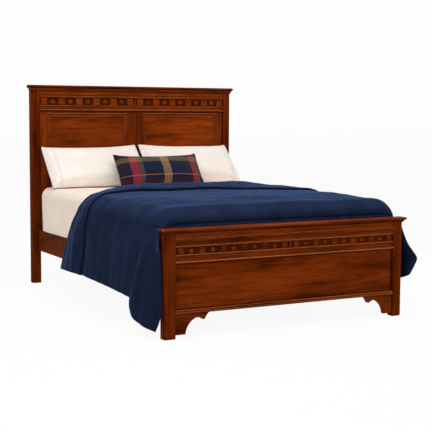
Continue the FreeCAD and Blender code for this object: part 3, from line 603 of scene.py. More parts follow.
@dataclass(frozen=True)
class CheckedWool(Finish):
    """A brushed wool check in plum, navy, red, gold and tan, woven in a twill.

    Every thread of the warp is dyed in one stripe and every thread of the weft in another, so a
    place shows the mean of its two stripes, and two like stripes that cross show pure colour.
    """

    width: float = 640.0
    height: float = 278.0
    corner: Point = (20.0, 570.0, 655.0)
    lean: float = 36.0
    warp: tuple[tuple[float, str], ...] = (
        (0, "#26101F"), (92, "#64482F"), (100, "#A82A33"), (150, "#5B4C3B"), (182, "#0E1830"),
        (318, "#A0794C"), (376, "#0E1830"), (508, "#2B1124"), (538, "#A32A33"), (576, "#6E5233"),
        (588, "#26101F"))
    weft: tuple[tuple[float, str], ...] = (
        (0, "#1B0C1B"), (22, "#331326"), (54, "#1A122A"), (70, "#B06C3A"), (75, "#0E1830"),
        (158, "#0D1528"), (176, "#6E5A42"), (218, "#11122A"), (250, "#200F25"))

    def stripes(self, tree: Tree, along: Socket, span: float,
                bands: tuple[tuple[float, str], ...]) -> Socket:
        """A ramp of hard-edged stripes.

        Args:
            tree: the material's node tree.
            along: the coordinate, in metres from the first stripe's edge.
            span: the whole width, in mm.
            bands: the start of each stripe in mm, and its colour.

        Returns:
            The colour.
        """
        return ramp(tree, calc(tree, "MULTIPLY", along, 1000.0 / span),
                    [(start / span, linear(colour)) for start, colour in bands], "CONSTANT")

    def fill(self, tree: Tree, shader: Node) -> None:
        """The check follows the cushion's own face; the twill's ribs are 3 mm apart."""
        place = add(tree, "TexCoord").outputs["Object"]
        local = add(tree, "Mapping", {"Vector": place, "Location": tuple(v * MM for v in self.corner),
                                      "Rotation": (-math.radians(self.lean), 0, 0)},
                    vector_type="TEXTURE").outputs[0]
        wobble = calc(tree, "MULTIPLY_ADD", noise(tree, local, 22.0, 2.0), 0.006, -0.003)
        axes = add(tree, "SeparateXYZ", {"Vector": local}).outputs
        across = calc(tree, "ADD", calc(tree, "ADD", axes["X"], self.width / 2 * MM), wobble)
        warp = self.stripes(tree, across, self.width, self.warp)
        weft = self.stripes(tree, calc(tree, "ADD", axes["Z"], wobble), self.height, self.weft)
        slant = add(tree, "Mapping", {"Vector": local, "Rotation": (0, math.radians(45), 0)})
        twill = add(tree, "TexWave", {"Vector": slant.outputs[0], "Scale": band_scale(3),
                                      "Distortion": 1.5, "Detail": 2.0},
                    bands_direction="X").outputs["Fac"]
        cloth = mix(tree, remap(tree, twill, 0.0, 1.0, 0.38, 0.62), warp, weft)
        nap = noise(tree, place, 130.0, 4.0, 0.65)
        fuzz = remap(tree, nap, 0.0, 1.0, 0.6, 1.4)
        plug(tree, shader, {"Base Color": mix(tree, 1.0, cloth, fuzz, "MULTIPLY"),
                            "Normal": bump(tree, nap, 0.35, 0.0012, bump(tree, twill, 0.35, 0.0006)),
                            "Roughness": 0.95, "Specular IOR Level": 0.1, "Sheen Weight": 0.12})


POPLAR_ACROSS = PlainPoplar("poplar_sanded_across", Grain.ACROSS)
POPLAR_ALONG = PlainPoplar("poplar_sanded_along", Grain.ALONG)
POPLAR_UPRIGHT = PlainPoplar("poplar_sanded_upright", Grain.UPRIGHT)
ZINC = ZincSteel("steel_zinc_plated")
NYLON = MouldedNylon("nylon_moulded_black")
# Plain cotton percale: matt, a warm white.
SHEET_COTTON = WovenCloth("cotton_percale_sheet", "#F2E0D0", "#FBECDF", crumple=0.35)
PILLOW_COTTON = WovenCloth("cotton_percale_pillowcase", "#E6DCD3", "#F2EAE2", lean=43.0,
                           crumple=0.5, seams=(-640.0, -652.0, 640.0, 652.0))
# Brushed cotton: navy, with a sheen that catches a little light, and painted light that makes its top
# lighter than its hanging sides.
COMFORTER_COTTON = WovenCloth("cotton_brushed_navy", "#111829", "#182139", thread=2.6, relief=0.5,
                              nap=0.75, sheen=0.4, sheen_tint="#86B3FF", sheen_rough=0.2, gloss=0.02,
                              rough=0.9, crumple=0.7, cloud=11.0)
TICKING = WovenCloth("cotton_ticking_mattress", "#DAD5CA", "#ECE8DF", thread=2.0, crumple=0.2)
FOUNDATION_CLOTH = WovenCloth("polyester_woven_foundation", "#CFCAC0", "#E2DED4", thread=2.4,
                              crumple=0.1)
WOOL = CheckedWool("wool_check_brushed")


# ---------------------------------------------------------------- the wooden frame
@dataclass
class Joinery:
    """Every wooden and metal node of the frame, and the finish that each one gets."""

    across: tuple[str, ...] = (
        "foot_cap", "foot_cove_moulding", "foot_top_rail", "foot_bottom_rail", "foot_panel",
        "foot_crown_moulding", "foot_lower_moulding", "foot_base_moulding", "foot_frieze_blocks",
        "foot_frieze_divider", "foot_bracket_left", "foot_bracket_right", "head_cap",
        "head_cove_moulding", "head_top_rail", "head_bottom_rail", "head_panel_left",
        "head_panel_right", "head_panel_mouldings", "head_crown_moulding", "head_lower_moulding",
        "head_frieze_blocks", "head_frieze_divider")
    upright: tuple[str, ...] = (
        "foot_post_left", "foot_post_right", "head_post_left", "head_post_right",
        "head_stile_left", "head_stile_right", "head_centre_stile")
    along: tuple[str, ...] = ("rail_left", "rail_right")

    # How light each board is drawn, by the start of its name; the longest match holds. Partly the
    # stain's own differences, partly painted light and shade: the rails are drawn darker for the shade
    # they sit in.
    stain_and_painted_shade_tones: tuple[tuple[str, float], ...] = (
        ("foot", 0.95), ("foot_panel", 0.9), ("foot_post", 0.78), ("foot_bracket", 0.85),
        ("head", 1.1), ("head_panel_left", 1.0), ("head_panel_right", 1.4),
        ("head_panel_mouldings", 0.95), ("head_post", 0.82), ("head_cap", 0.75), ("rail", 0.72))
    # Mouldings whose edges get the strong painted highlight.
    bright_edges: tuple[str, ...] = (
        "foot_cap", "foot_lower_moulding", "foot_base_moulding", "foot_crown_moulding",
        "head_panel_mouldings", "head_lower_moulding", "head_crown_moulding")
    # How strong the painted highlight on an edge is, and the radius in mm within which it counts as one.
    bright_painted_highlight: tuple[float, float] = (1.0, 5.0)
    quiet_painted_highlight: tuple[float, float] = (0.3, 2.0)
    # The painted highlight's colour on the mouldings whose edges catch most light.
    painted_highlight_colours: dict[str, str] = field(default_factory=lambda: {
        "foot_lower_moulding": "#FFA468", "foot_base_moulding": "#FF9E62", "foot_cap": "#F0925A",
        "head_panel_mouldings": "#F2955C", "foot_crown_moulding": "#E08A50",
        "head_crown_moulding": "#D07A42", "head_lower_moulding": "#E0905C"})
    # Where the glaze and painted shade lie along a board: the friezes' fields and the quirks between
    # mouldings.
    quirks: tuple[tuple[str, Points], ...] = (
        ("foot_top_rail", ((434.0, 471.0, 0.7),)),
        ("head_top_rail", ((1200.0, 1250.0, 0.7),)),
        ("foot_cap", ((555.0, 559.0, 0.7),)),
        ("foot_cove_moulding", ((542.0, 553.0, 0.7),)),
        ("foot_crown_moulding", ((514.5, 518.0, 0.85), (496.5, 500.0, 0.85), (477.0, 481.0, 0.85))),
        ("foot_lower_moulding", ((424.0, 427.0, 0.8), (397.0, 400.0, 0.6))),
        ("head_cap", ((1314.0, 1322.0, 0.7),)),
        ("head_cove_moulding", ((1294.0, 1300.0, 0.8),)),
        ("head_crown_moulding", ((1266.0, 1270.0, 0.85), (1259.0, 1263.0, 0.85), (1250.0, 1252.0, 0.8))),
        ("head_lower_moulding", ((1197.0, 1200.0, 0.8), (1160.0, 1165.0, 0.85))))

    def tone_of(self, name: str) -> float:
        """The tone whose name the board's name starts with, the longest such."""
        return max((len(start), tone) for start, tone in self.stain_and_painted_shade_tones if name.startswith(start))[1]

    def dress(self) -> None:
        """Gives every kept node its finish; no two boards show the same figure."""
        quirks = dict(self.quirks)
        for grain, names in ((Grain.ACROSS, self.across), (Grain.UPRIGHT, self.upright),
                             (Grain.ALONG, self.along)):
            for number, name in enumerate(names):
                # Each board gets glaze and painted shade in its hollows, a painted highlight on its
                # edges, and its tone.
                painted_highlight_strength, radius = self.bright_painted_highlight if name in self.bright_edges else self.quiet_painted_highlight
                self.give(name, StainedCherry(
                    "cherry_stained_%s" % name, grain, 1.7 * number + 0.4, self.tone_of(name),
                    painted_highlight_strength, radius, quirks.get(name, ()),
                    painted_highlight_colour=self.painted_highlight_colours.get(name, "#C8692F")))
        plain = {
            POPLAR_ACROSS: ["slat_%d" % number for number in range(1, 6)],
            POPLAR_ALONG: ["cleat_left", "cleat_right"],
            POPLAR_UPRIGHT: ["centre_leg_1", "centre_leg_2", "centre_leg_3", "foot_glue_blocks"],
            ZINC: ["rail_hook_plates", "post_receiver_plates", "leg_inserts"],
            NYLON: ["levelling_glide_%d" % number for number in range(1, 4)]}
        for finish, names in plain.items():
            for name in names:
                self.give(name, finish)
        REPORT.info("frame dressed: %d boards", len(self.across + self.upright + self.along))

    def give(self, name: str, finish: Finish) -> None:
        """Puts a finish on one node through its material slots."""
        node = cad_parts[name]
        if not node.material_slots:
            node.data.materials.append(finish.material())
        for place in node.material_slots:
            place.material = finish.material()


@dataclass
class Rosettes:
    """The turned rosettes of a frieze, five in each half, one for each round boss."""

    name: str
    node: str
    half_width: float
    face: float
    middle: float
    motif: float
    relief: float = 6.0
    divider: float = 12.0
    per_half: int = 11
    # Radius and height of the turned profile, as shares of the motif's radius and relief:
    # a plinth, a ring, a hollow and a button.
    profile: Pairs = (
        (1.0, 0.0), (1.0, 0.45), (0.96, 0.62), (0.86, 0.74), (0.74, 0.7), (0.66, 0.45), (0.56, 0.3),
        (0.48, 0.45), (0.42, 0.78), (0.28, 0.96), (0.12, 1.02), (0.0, 1.04))

    def build(self, finish: Finish) -> None:
        """Turns the profile about the axis of each boss: x and z from radius and angle, y from
        height in front of the frieze's face."""
        pitch = (self.half_width - self.divider / 2) / self.per_half
        places = self.divider / 2 + pitch * (np.arange(1, self.per_half, 2) + 0.5)
        turn = np.linspace(0, 2 * math.pi, 28, endpoint=False)
        rings = np.array(self.profile)
        patches = []
        for x in np.concatenate([places, -places]):
            radius = rings[:, :1] * self.motif / 2
            front = np.repeat(self.face - rings[:, 1:] * self.relief, len(turn), 1)
            spots = np.stack([x + radius * np.cos(turn), front,
                              self.middle + radius * np.sin(turn)], -1)
            patches.append((spots * MM, grid_faces(len(rings), len(turn), round_columns=True)))
        piece = new_piece(self.name, patches)
        settle(piece, self.name, "frame", "stained_cherry", finish, self.node)


@dataclass
class Screws:
    """Countersunk cross-head wood screws: through the cleats, and down through the slat ends."""

    radius: float = 4.2
    cleat_x: float = 669.0
    cleat_z: float = 231.0
    cleat_y: tuple[float, ...] = (-850.0, -510.0, -170.0, 170.0, 510.0, 850.0)
    slat_x: float = 679.0
    slat_top: float = 262.0
    slat_y: tuple[float, ...] = (-840.5, -418.75, 3.0, 424.75, 846.5)

    def head(self) -> tuple[np.ndarray, np.ndarray]:
        """A screw head facing +Z: a low disc in six rings whose middle sinks along a cross.

        Returns:
            Points in mm about the head's centre, and faces.
        """
        turn = np.linspace(0, 2 * math.pi, 24, endpoint=False)
        radius = np.array([1.0, 1.0, 0.9, 0.55, 0.3, 0.0])[:, None] * self.radius
        level = np.array([-0.6, 0.1, 0.35, 0.4, 0.4, 0.4])[:, None]
        x, y = radius * np.cos(turn), radius * np.sin(turn)
        arm = np.minimum(np.abs(x), np.abs(y))
        cross = (arm < 0.7) & (radius < 0.62 * self.radius)
        spots = np.stack([x, y, level - 0.9 * cross + 0 * x], -1)
        return spots, grid_faces(6, 24, round_columns=True)

    def build(self) -> None:
        """Turns copies of the head to face into the bed from the cleats and up from the slats."""
        spots, faces = self.head()
        patches = []
        for y in self.cleat_y:
            for side in (1, -1):
                turned = np.stack([side * (self.cleat_x - spots[..., 2]), y + spots[..., 0],
                                   self.cleat_z + side * spots[..., 1]], -1)
                patches.append((turned * MM, faces))
        for y in self.slat_y:
            for x in (self.slat_x, -self.slat_x):
                for shift in (-20.0, 20.0):
                    patches.append((np.stack([x + spots[..., 0], y + shift + spots[..., 1],
                                              self.slat_top + spots[..., 2]], -1) * MM, faces))
        settle(new_piece("wood_screws", patches, smooth=False), "wood_screws", "frame",
               "zinc_steel", ZINC)


# ---------------------------------------------------------------- bedding
def rounded_path(half: float, low: float, high: float, corner: float, count: int) -> np.ndarray:
    """Points evenly along a rectangle with round corners, counter-clockwise from the middle of
    the right side.

    Args:
        half: half its width along X.
        low: its lower end on Y.
        high: its upper end on Y.
        corner: radius of its corners.
        count: number of points.

    Returns:
        A (count, 2) array of X and Y in mm.
    """
    arc = np.linspace(0, math.pi / 2, 12)
    corners = []
    for cx, cy, start in ((half - corner, high - corner, 0), (corner - half, high - corner, 1),
                          (corner - half, low + corner, 2), (half - corner, low + corner, 3)):
        angle = arc + start * math.pi / 2
        corners.append(np.stack([cx + corner * np.cos(angle), cy + corner * np.sin(angle)], -1))
    loop = np.concatenate([[[half, (low + high) / 2]], *corners, [[half, (low + high) / 2]]])
    run = np.concatenate([[0], np.cumsum(np.hypot(*np.diff(loop, axis=0).T))])
    at = np.linspace(0, run[-1], count, endpoint=False)
    return np.stack([np.interp(at, run, loop[:, 0]), np.interp(at, run, loop[:, 1])], -1)


def carry(path: np.ndarray, radius: float, sides: int = 10) -> tuple[np.ndarray, np.ndarray]:
    """A round cord along a closed path: a circle square to the path at each of its points.

    Args:
        path: (n, 3) points of the closed path, in mm.
        radius: of the cord, in mm.
        sides: points round the cord.

    Returns:
        Points in metres and faces.
    """
    along = np.roll(path, -1, 0) - np.roll(path, 1, 0)
    along /= np.linalg.norm(along, axis=1, keepdims=True)
    side = np.cross(along, (0, 0, 1.0))
    side /= np.linalg.norm(side, axis=1, keepdims=True)
    up = np.cross(side, along)
    turn = np.linspace(0, 2 * math.pi, sides, endpoint=False)[:, None]
    spots = path[:, None] + radius * (np.cos(turn) * side[:, None] + np.sin(turn) * up[:, None])
    return spots * MM, grid_faces(len(path), sides, True, True)


@dataclass
class BoxedPad:
    """A boxed, padded block, the mattress or its foundation, with a tape sewn round each edge."""

    name: str
    node: str
    slot: str
    finish: Finish
    half: float
    low: float
    high: float
    corner: float
    edge: float
    crown: float
    cord: float = 4.0
    tuft: float = 0.0

    def build(self) -> None:
        """Sweeps a side profile round the plan outline and closes top and bottom with rings that
        shrink to the middle; the top is crowned, and quilted by two crossing waves."""
        foot, head = MATTRESS_FOOT, MATTRESS_HEAD
        plan = rounded_path(self.half, foot, head, self.corner, 220)
        centre = np.array([0.0, (foot + head) / 2])
        quarter = np.linspace(0, math.pi / 2, 7)
        inset = np.concatenate([self.edge * (1 - np.sin(quarter)), [0, 0, 0], [0, 5]])
        level = np.concatenate([self.high - self.edge * (1 - np.cos(quarter)),
                                np.linspace(self.high - self.edge - 10, self.low + 12, 3),
                                [self.low + 5, self.low]])
        shrink = 1 - inset[:, None, None] / self.half
        wall = np.concatenate([centre + (plan - centre) * shrink,
                               np.broadcast_to(level[:, None, None], (len(level), len(plan), 1))], -1)
        ring = np.linspace(0.0, 1.0, 28)[:, None, None]
        inner = centre + (wall[0, :, :2] - centre) * ring
        swell = self.crown * (1 - ring ** 2)
        quilt = self.tuft * np.abs(np.sin(inner[..., :1] * math.pi / 140)
                                   * np.sin(inner[..., 1:] * math.pi / 140)) ** 0.5
        top = np.concatenate([inner, self.high + swell - self.tuft + quilt * (1 - ring ** 6)
                              + self.tuft * (ring > 0.999)], -1)
        under = np.concatenate([centre + (wall[-1, :, :2] - centre) * ring[::-1],
                                np.full((len(ring), len(plan), 1), self.low)], -1)
        patches = [(part * MM, grid_faces(len(part), len(plan), round_columns=True))
                   for part in (top, wall, under)]
        for height, out in ((self.high - self.edge * 0.75, -self.edge * 0.12), (self.low + 8, 0.5)):
            rim = np.column_stack([centre + (plan - centre) * (1 + out / self.half),
                                   np.full(len(plan), height)])
            patches.append(carry(rim, self.cord))
        piece = new_piece(self.name, patches)
        settle(piece, self.name, "mattress_set", self.slot, self.finish, self.node)


@dataclass
class FittedSheet:
    """The cotton sheet over the mattress, hanging to the side rails in soft shallow folds."""

    half: float = 721.0
    low: float = SHEET_FOOT
    high: float = 961.5
    corner: float = 62.0
    edge: float = 60.0
    hem: float = 363.6
    top: float = SHEET_TOP
    thickness: float = 1.2

    def build(self) -> None:
        """Rings that shrink from the shoulder to the middle make the top; below the shoulder the
        plan outline drops straight, pushed in and out by folds that grow towards the hem and are
        held to a quarter at the two ends, where the foundation is close behind."""
        plan = rounded_path(self.half, self.low, self.high, self.corner, 420)
        centre = np.array([0.0, (self.low + self.high) / 2])
        room = np.array([self.half, (self.high - self.low) / 2]) - self.corner
        outward = plan - centre - np.clip(plan - centre, -room, room)
        outward /= np.linalg.norm(outward, axis=1, keepdims=True)
        run = np.arange(len(plan)) / len(plan) * 6900
        quarter = np.linspace(0, math.pi / 2, 12)
        drop = np.linspace(self.top - self.edge, self.hem, 22)[1:]
        inset = np.concatenate([self.edge * (1 - np.sin(quarter)), np.zeros(len(drop))])
        level = np.concatenate([self.top - self.edge * (1 - np.cos(quarter)), drop])
        fold = (2.2 * np.sin(run / 190.0) + 1.6 * np.sin(run / 83.0 + 1.0) + 1.0 * np.sin(run / 41.0))
        grow = smoothstep(self.top - 40, self.hem, level)[:, None] ** 1.3
        room_left = 0.25 + 0.75 * np.abs(outward[:, :1])
        push = (grow * fold - 3.6 * grow)[..., None] * room_left
        wall = np.concatenate([plan - outward * inset[:, None, None] + outward * push,
                               level[:, None, None] + 0 * plan[None, :, :1]], -1)
        ring = np.linspace(0.0, 1.0, 70)[:, None, None] ** 0.8
        inner = centre + (wall[0, :, :2] - centre) * ring
        wave = ripple(inner[..., 0], inner[..., 1], [(0.8, 210, 0.6, 0.3), (0.6, 150, 2.0, 1.4),
                                                    (0.4, 90, 1.2, 2.2)])[..., None]
        top = np.concatenate([inner, self.top + (wave - 1.4) * (1 - ring ** 10)], -1)
        patches = [(part * MM, grid_faces(len(part), len(plan), round_columns=True))
                   for part in (top, wall)]
        piece = new_piece("bed_sheet", patches)
        shell = piece.modifiers.new("cloth thickness", "SOLIDIFY")
        shell.thickness = self.thickness * MM
        shell.offset = -1.0
        settle(piece, "bed_sheet", "mattress_set", "sheet_cotton", SHEET_COTTON, "sheet")


@dataclass
class Comforter:
    """The navy comforter: top, hanging sides, foot drop, turned-back band and foot corners.

    Its section across the bed is one line from the middle of the top, over an elliptical
    shoulder, to a hem that flares outward. A point is told by how far along that line it lies,
    by its place along the bed, and by its height above the line, square to it.
    """

    roof: float = 655.2
    crown: float = 4.0
    half: float = 746.0
    edge: float = 91.0
    shoulder_drop: float = 90.0
    hem: float = 190.0
    flare: float = 46.0
    foot_axis: float = SHEET_FOOT + 60.0
    bend: float = 67.5
    drop_low: float = 472.0
    loft: float = 15.0
    gap: float = 0.8
    corner_pull: float = 0.4
    hump: float = 20.0
    band_fullness: float = 22.0
    edge_thinning: float = 0.55
    corner_loft: float = 11.0
    top_columns: int = 133
    # How far along the section's line the hems are, about; each hem's own length is taken there.
    reach: float = 1165.0
    # Height of the left hem along the bed.
    hem_line: Pairs = (
        (-970, 166), (-696, 174), (-576, 180), (-405, 186), (-228, 192), (-63, 195), (27, 197),
        (200, 193), (357, 188))
    # Place along the bed of the turned edge, and of the band's free edge, for lengths along the
    # section's line.
    edge_line: Pairs = (
        (-1180, 350), (-1044, 286), (-933, 244), (-858, 206), (-798, 166), (-741, 134),
        (-699, 128), (-660, 150), (-591, 214), (-500, 290), (-390, 352), (-230, 404), (0, 425),
        (230, 408), (390, 360), (500, 300), (591, 232), (660, 172), (720, 136), (810, 130),
        (900, 160), (1066, 220), (1180, 262))
    groove_line: Pairs = (
        (-1165, -14), (-1038, -26), (-930, -18), (-840, -14), (-789, -24), (-741, -42),
        (-696, -46), (-642, -12), (-552, 44), (-435, 64), (-277, 64), (-110, 60), (38, 52),
        (200, 26), (329, -15), (460, -86), (578, -165), (700, -232), (800, -268), (1000, -276),
        (1180, -262))
    pleat_crease: Points = (
        (-752, -856, 574), (-775, -843, 509), (-781, -836, 474), (-790, -813, 414),
        (-798, -788, 357), (-804, -767, 297), (-809, -748, 240), (-814, -729, 181),
        (-814, -725, 135), (-808, -739, 89))
    pleat_end: Points = (
        (-774, -982, 548), (-781, -1012, 480), (-781, -1030, 404), (-780, -1037, 310),
        (-778, -1040, 227), (-777, -1041, 160), (-783, -1030, 100), (-795, -1006, 42))
    pleat_top: Points = (
        (-752, -856, 574), (-752, -915, 570), (-750, -955, 562), (-774, -982, 548))
    pleat_hem: Points = (
        (-808, -739, 89), (-813, -817, 70), (-814, -904, 60), (-795, -1006, 42))
    flap_crease: Points = (
        (752, -868, 574), (777, -866, 500), (795, -868, 380), (807, -874, 260), (812, -880, 196))
    flap_end: Points = (
        (776, -985, 546), (782, -1015, 470), (803, -1030, 409), (838, -1030, 368),
        (870, -1030, 324), (848, -1030, 280), (816, -1030, 234))
    flap_top: Points = (
        (752, -868, 574), (752, -930, 568), (750, -960, 560), (776, -985, 546))
    flap_hem: Points = (
        (812, -880, 196), (820, -950, 204), (816, -1030, 234))
    line: np.ndarray = field(default_factory=lambda: np.zeros((0, 3)))
    foot_row: np.ndarray = field(default_factory=lambda: np.zeros((0, 3)))

    def __post_init__(self) -> None:
        """Works out the section's line and its running length."""
        top_x = np.linspace(0, self.half - self.edge, 60)
        top_z = self.roof + self.crown * (1 - (top_x / top_x[-1]) ** 2)
        turn = np.linspace(0, math.pi / 2, 24)[1:]
        bend_x = self.half - self.edge + self.edge * np.sin(turn)
        bend_z = self.roof - self.shoulder_drop * (1 - np.cos(turn))
        side_z = np.linspace(self.roof - self.shoulder_drop, 30, 60)[1:]
        fall = (bend_z[-1] - side_z) / (bend_z[-1] - self.hem)
        side_x = self.half + self.flare * fall + 5 * np.sin(math.pi * np.clip(fall, 0, 1))
        x = np.concatenate([top_x, bend_x, side_x])
        z = np.concatenate([top_z, bend_z, side_z])
        run = np.concatenate([[0], np.cumsum(np.hypot(np.diff(x), np.diff(z)))])
        self.line = np.stack([run, x, z], -1)

    def length_to(self, level: np.ndarray) -> np.ndarray:
        """How far along the line it reaches a given height on the side."""
        return np.interp(-level, -self.line[:, 2], self.line[:, 0])

    def shoulder(self) -> float:
        """How far along the line the shoulder ends and the side begins."""
        return float(self.length_to(np.array(self.roof - self.shoulder_drop)))

    def outer(self) -> float:
        """Radius of the bend at the foot, at the middle of the cloth's thickness."""
        return self.bend + self.loft / 2

    def dip(self, y: np.ndarray) -> np.ndarray:
        """How far the bend at the foot has come down, or in, at a place along the bed: the
        height of a quarter circle below its top."""
        run = np.clip(self.foot_axis - y, 0, self.outer())
        return self.outer() - np.sqrt(np.maximum(self.outer() ** 2 - run ** 2, 0))

    def section(self, along: np.ndarray, above: np.ndarray, y: np.ndarray) -> np.ndarray:
        """Points told by their length along the line, height above it and place along the bed.
        At the foot the top comes down by the dip, and the sides come in by a share of it.

        Args:
            along: signed length from the middle, negative on the left.
            above: height over the line, square to it.
            y: place along the bed.

        Returns:
            Points, (rows, columns, 3), in mm.
        """
        far = np.abs(along)
        step = 2.0
        (x, dx), (z, dz) = (
            (np.interp(far, run, known),
             np.interp(far + step, run, known) - np.interp(far - step, run, known))
            for run, known in ((self.line[:, 0], self.line[:, 1]), (self.line[:, 0], self.line[:, 2])))
        size = np.hypot(dx, dz) + 1e-9
        out_x, out_z = -dz / size, dx / size
        x, z = x + above * out_x, z + above * out_z
        base = self.roof - self.shoulder_drop
        lowered = base + (z - base) * (1 - self.dip(y) / (self.shoulder_drop + self.loft / 2))
        x = x * (1 - self.corner_pull * self.dip(y) / (self.half + self.loft / 2))
        return np.stack([np.sign(along) * x, y, np.where(z > base, lowered, z)], -1)

    def thinness(self, along: np.ndarray) -> np.ndarray:
        """The filling is pulled thin over the shoulders: a share of the loft, least there."""
        return 1 - 0.28 * np.exp(-((np.abs(along) - 740) / 100) ** 2)

    def hem_left(self, y: np.ndarray) -> np.ndarray:
        """Height of the left hem along the bed."""
        return curve_at(*np.array(self.hem_line, float).T, y)

    def hem_right(self, y: np.ndarray) -> np.ndarray:
        """Height of the right hem along the bed."""
        return 190 + 4 * np.sin(y / 150.0)

    def ripples(self, along: np.ndarray, y: np.ndarray) -> np.ndarray:
        """Gentle unevenness of the top, and hanging folds that deepen towards the hems."""
        top = ripple(along, y, [(1.5, 430, 0.5, 0.2), (1.2, 290, 2.1, 1.0), (0.9, 170, 1.3, 2.0),
                                (0.6, 110, 2.7, 0.4), (0.5, 74, 0.2, 1.1)])
        depth = smoothstep(self.shoulder() - 60, self.shoulder() + 380, np.abs(along))
        side = (2.0 * np.sin(y / 62.0 + 0.5 * np.sin(y / 210.0) + along / 900)
                + 1.3 * np.sin(y / 31.0 + 1.3 + along / 500) + 0.8 * np.sin(y / 15.0 + 0.4))
        return top * (1 - 0.5 * depth) + side * depth

    def columns(self, left: np.ndarray, right: np.ndarray) -> np.ndarray:
        """Lengths along the line for each row, close together near the hems.

        Args:
            left: each row's length to the left hem.
            right: each row's length to the right hem.

        Returns:
            An array of rows by columns, negative on the left.
        """
        top = np.linspace(-1, 1, self.top_columns)[None] * self.shoulder()
        share = 1 - (1 - np.linspace(0, 1, 36)[1:]) ** 1.7
        right_part = self.shoulder() + share * (right[:, None] - self.shoulder())
        left_part = -self.shoulder() - share[::-1] * (left[:, None] - self.shoulder())
        return np.concatenate([left_part, np.repeat(top, len(left), 0), right_part], 1)

    def two_sided(self, middle: np.ndarray, thick: np.ndarray,
                  foot_row: np.ndarray | None = None) -> list[tuple]:
        """Gives a sheet of points its loft: copies moved half the thickness to either side of it,
        square to it, closed where the thickness ends at nothing.

        Args:
            middle: rows by columns by 3, in mm.
            thick: the thickness at each point.
            foot_row: which points of the first row face the foot, where two patches meet.

        Returns:
            Patches for new_piece.
        """
        square = np.cross(np.gradient(middle, axis=1), np.gradient(middle, axis=0))
        square /= np.linalg.norm(square, axis=2, keepdims=True) + 1e-9
        if foot_row is not None:
            square[0, foot_row] = (0.0, -1.0, 0.0)
        faces = grid_faces(*middle.shape[:2])
        push = square * thick[..., None] / 2
        return [((middle + push) * MM, faces), ((middle - push) * MM, faces[:, ::-1])]

    def body(self) -> list[tuple]:
        """Top, sides, turned edge and band: rows run up the bend at the foot, along the bed,
        over the turned edge and back to the band's free edge. Each row's place is a fixed part
        plus a share of the turned edge's place and a share of the free edge's place. The cloth is
        thin where it turns back, full in the band, and humped toward the foot."""
        bend = np.linspace(math.pi / 2, 0, 14)
        ahead = np.linspace(0, 1, 92)[1:]
        roll = np.linspace(0, math.pi, 9)[1:-1]
        back = 1 - (1 - np.linspace(0, 1, 46)) ** 1.5
        fixed = np.concatenate([self.foot_axis - self.outer() * np.sin(bend),
                                self.foot_axis * (1 - ahead), self.loft / 2 * np.sin(roll), 0 * back])
        to_edge = np.concatenate([0 * bend, ahead, 1 + 0 * roll, 1 - back])
        to_groove = np.concatenate([0 * bend, 0 * ahead, 0 * roll, back])
        turned = np.concatenate([0 * bend, 0 * ahead, (1 - np.cos(roll)) / 2, 1 + 0 * back])[:, None]
        edge_at, groove_at = (np.array(table, float).T for table in (self.edge_line, self.groove_line))

        def rows_at(along: np.ndarray) -> np.ndarray:
            """Place along the bed of every row at given lengths along the line."""
            return (fixed[:, None] + to_edge[:, None] * curve_at(*edge_at, along)
                    + to_groove[:, None] * curve_at(*groove_at, along))

        ends = [rows_at(np.full((len(fixed), 1), side * self.reach))[:, 0]
                for side in (-1, 1)]
        s = self.columns(self.length_to(self.hem_left(ends[0])), self.length_to(self.hem_right(ends[1])))
        y = rows_at(s)
        fold = 1 - self.edge_thinning * np.exp(-((y - curve_at(*edge_at, s)) / 90) ** 2)
        loft = self.loft * self.thinness(s) * fold
        hump = (self.hump * smoothstep(-930, -640, y) * (1 - smoothstep(-500, -120, y))
                * (1 - smoothstep(480, 720, np.abs(s))))
        full = (self.band_fullness * np.exp(-((y - 205) / 120) ** 2)
                * (1 - smoothstep(360, 660, np.abs(s))) * turned)
        full = full + hump * (1 - turned)
        level = self.gap + loft / 2 + turned * (loft + 0.6 + hump) + full / 2
        first = self.foot_axis - self.outer()
        middle = self.section(s, level + self.ripples(s, y) * smoothstep(first, first + 150, y), y)
        to_hem = np.minimum(np.abs(s - s[:, :1]), np.abs(s[:, -1:] - s))
        to_free = np.where(to_groove[:, None] > 0, np.abs(y - curve_at(*groove_at, s)), 99.0)
        to_foot = np.hypot(np.maximum(self.shoulder() - np.abs(s), 0), y - first)
        near = np.minimum(np.minimum(to_hem, to_free), to_foot)
        over_top = np.abs(s[0]) < self.shoulder() - 0.1
        self.foot_row = middle[0, np.abs(s[0]) < self.shoulder() + 0.1]
        return self.two_sided(middle, (loft + full) * self.taper(near), over_top)

    def taper(self, distance: np.ndarray, width: float = 7.0) -> np.ndarray:
        """A half-round edge: nothing at the edge, the full thickness a little way in."""
        t = np.clip(distance / width, 0, 1)
        return np.sqrt(np.maximum(1 - (1 - t) ** 2, 0))

    def foot_drop(self) -> list[tuple]:
        """The foot end, from the bend's lowest row straight down behind the footboard."""
        down = (1 - (1 - np.linspace(0, 1, 22)) ** 1.5)[:, None]
        s = np.linspace(-1, 1, self.top_columns)[None] * self.shoulder() + 0 * down
        fall = self.foot_row[None, :, 2] - self.drop_low
        middle = np.stack([self.foot_row[None, :, 0] * (1 + 0.015 * down),
                           self.foot_row[None, :, 1] - 0.7 * np.sin(s / 90.0) * down,
                           self.foot_row[None, :, 2] - fall * down], -1)
        near = np.minimum(self.shoulder() - np.abs(s), (1 - down) * fall)
        thick = self.loft * self.thinness(s) * self.taper(np.maximum(near, 0))
        return self.two_sided(middle, thick, np.ones(self.top_columns, bool))

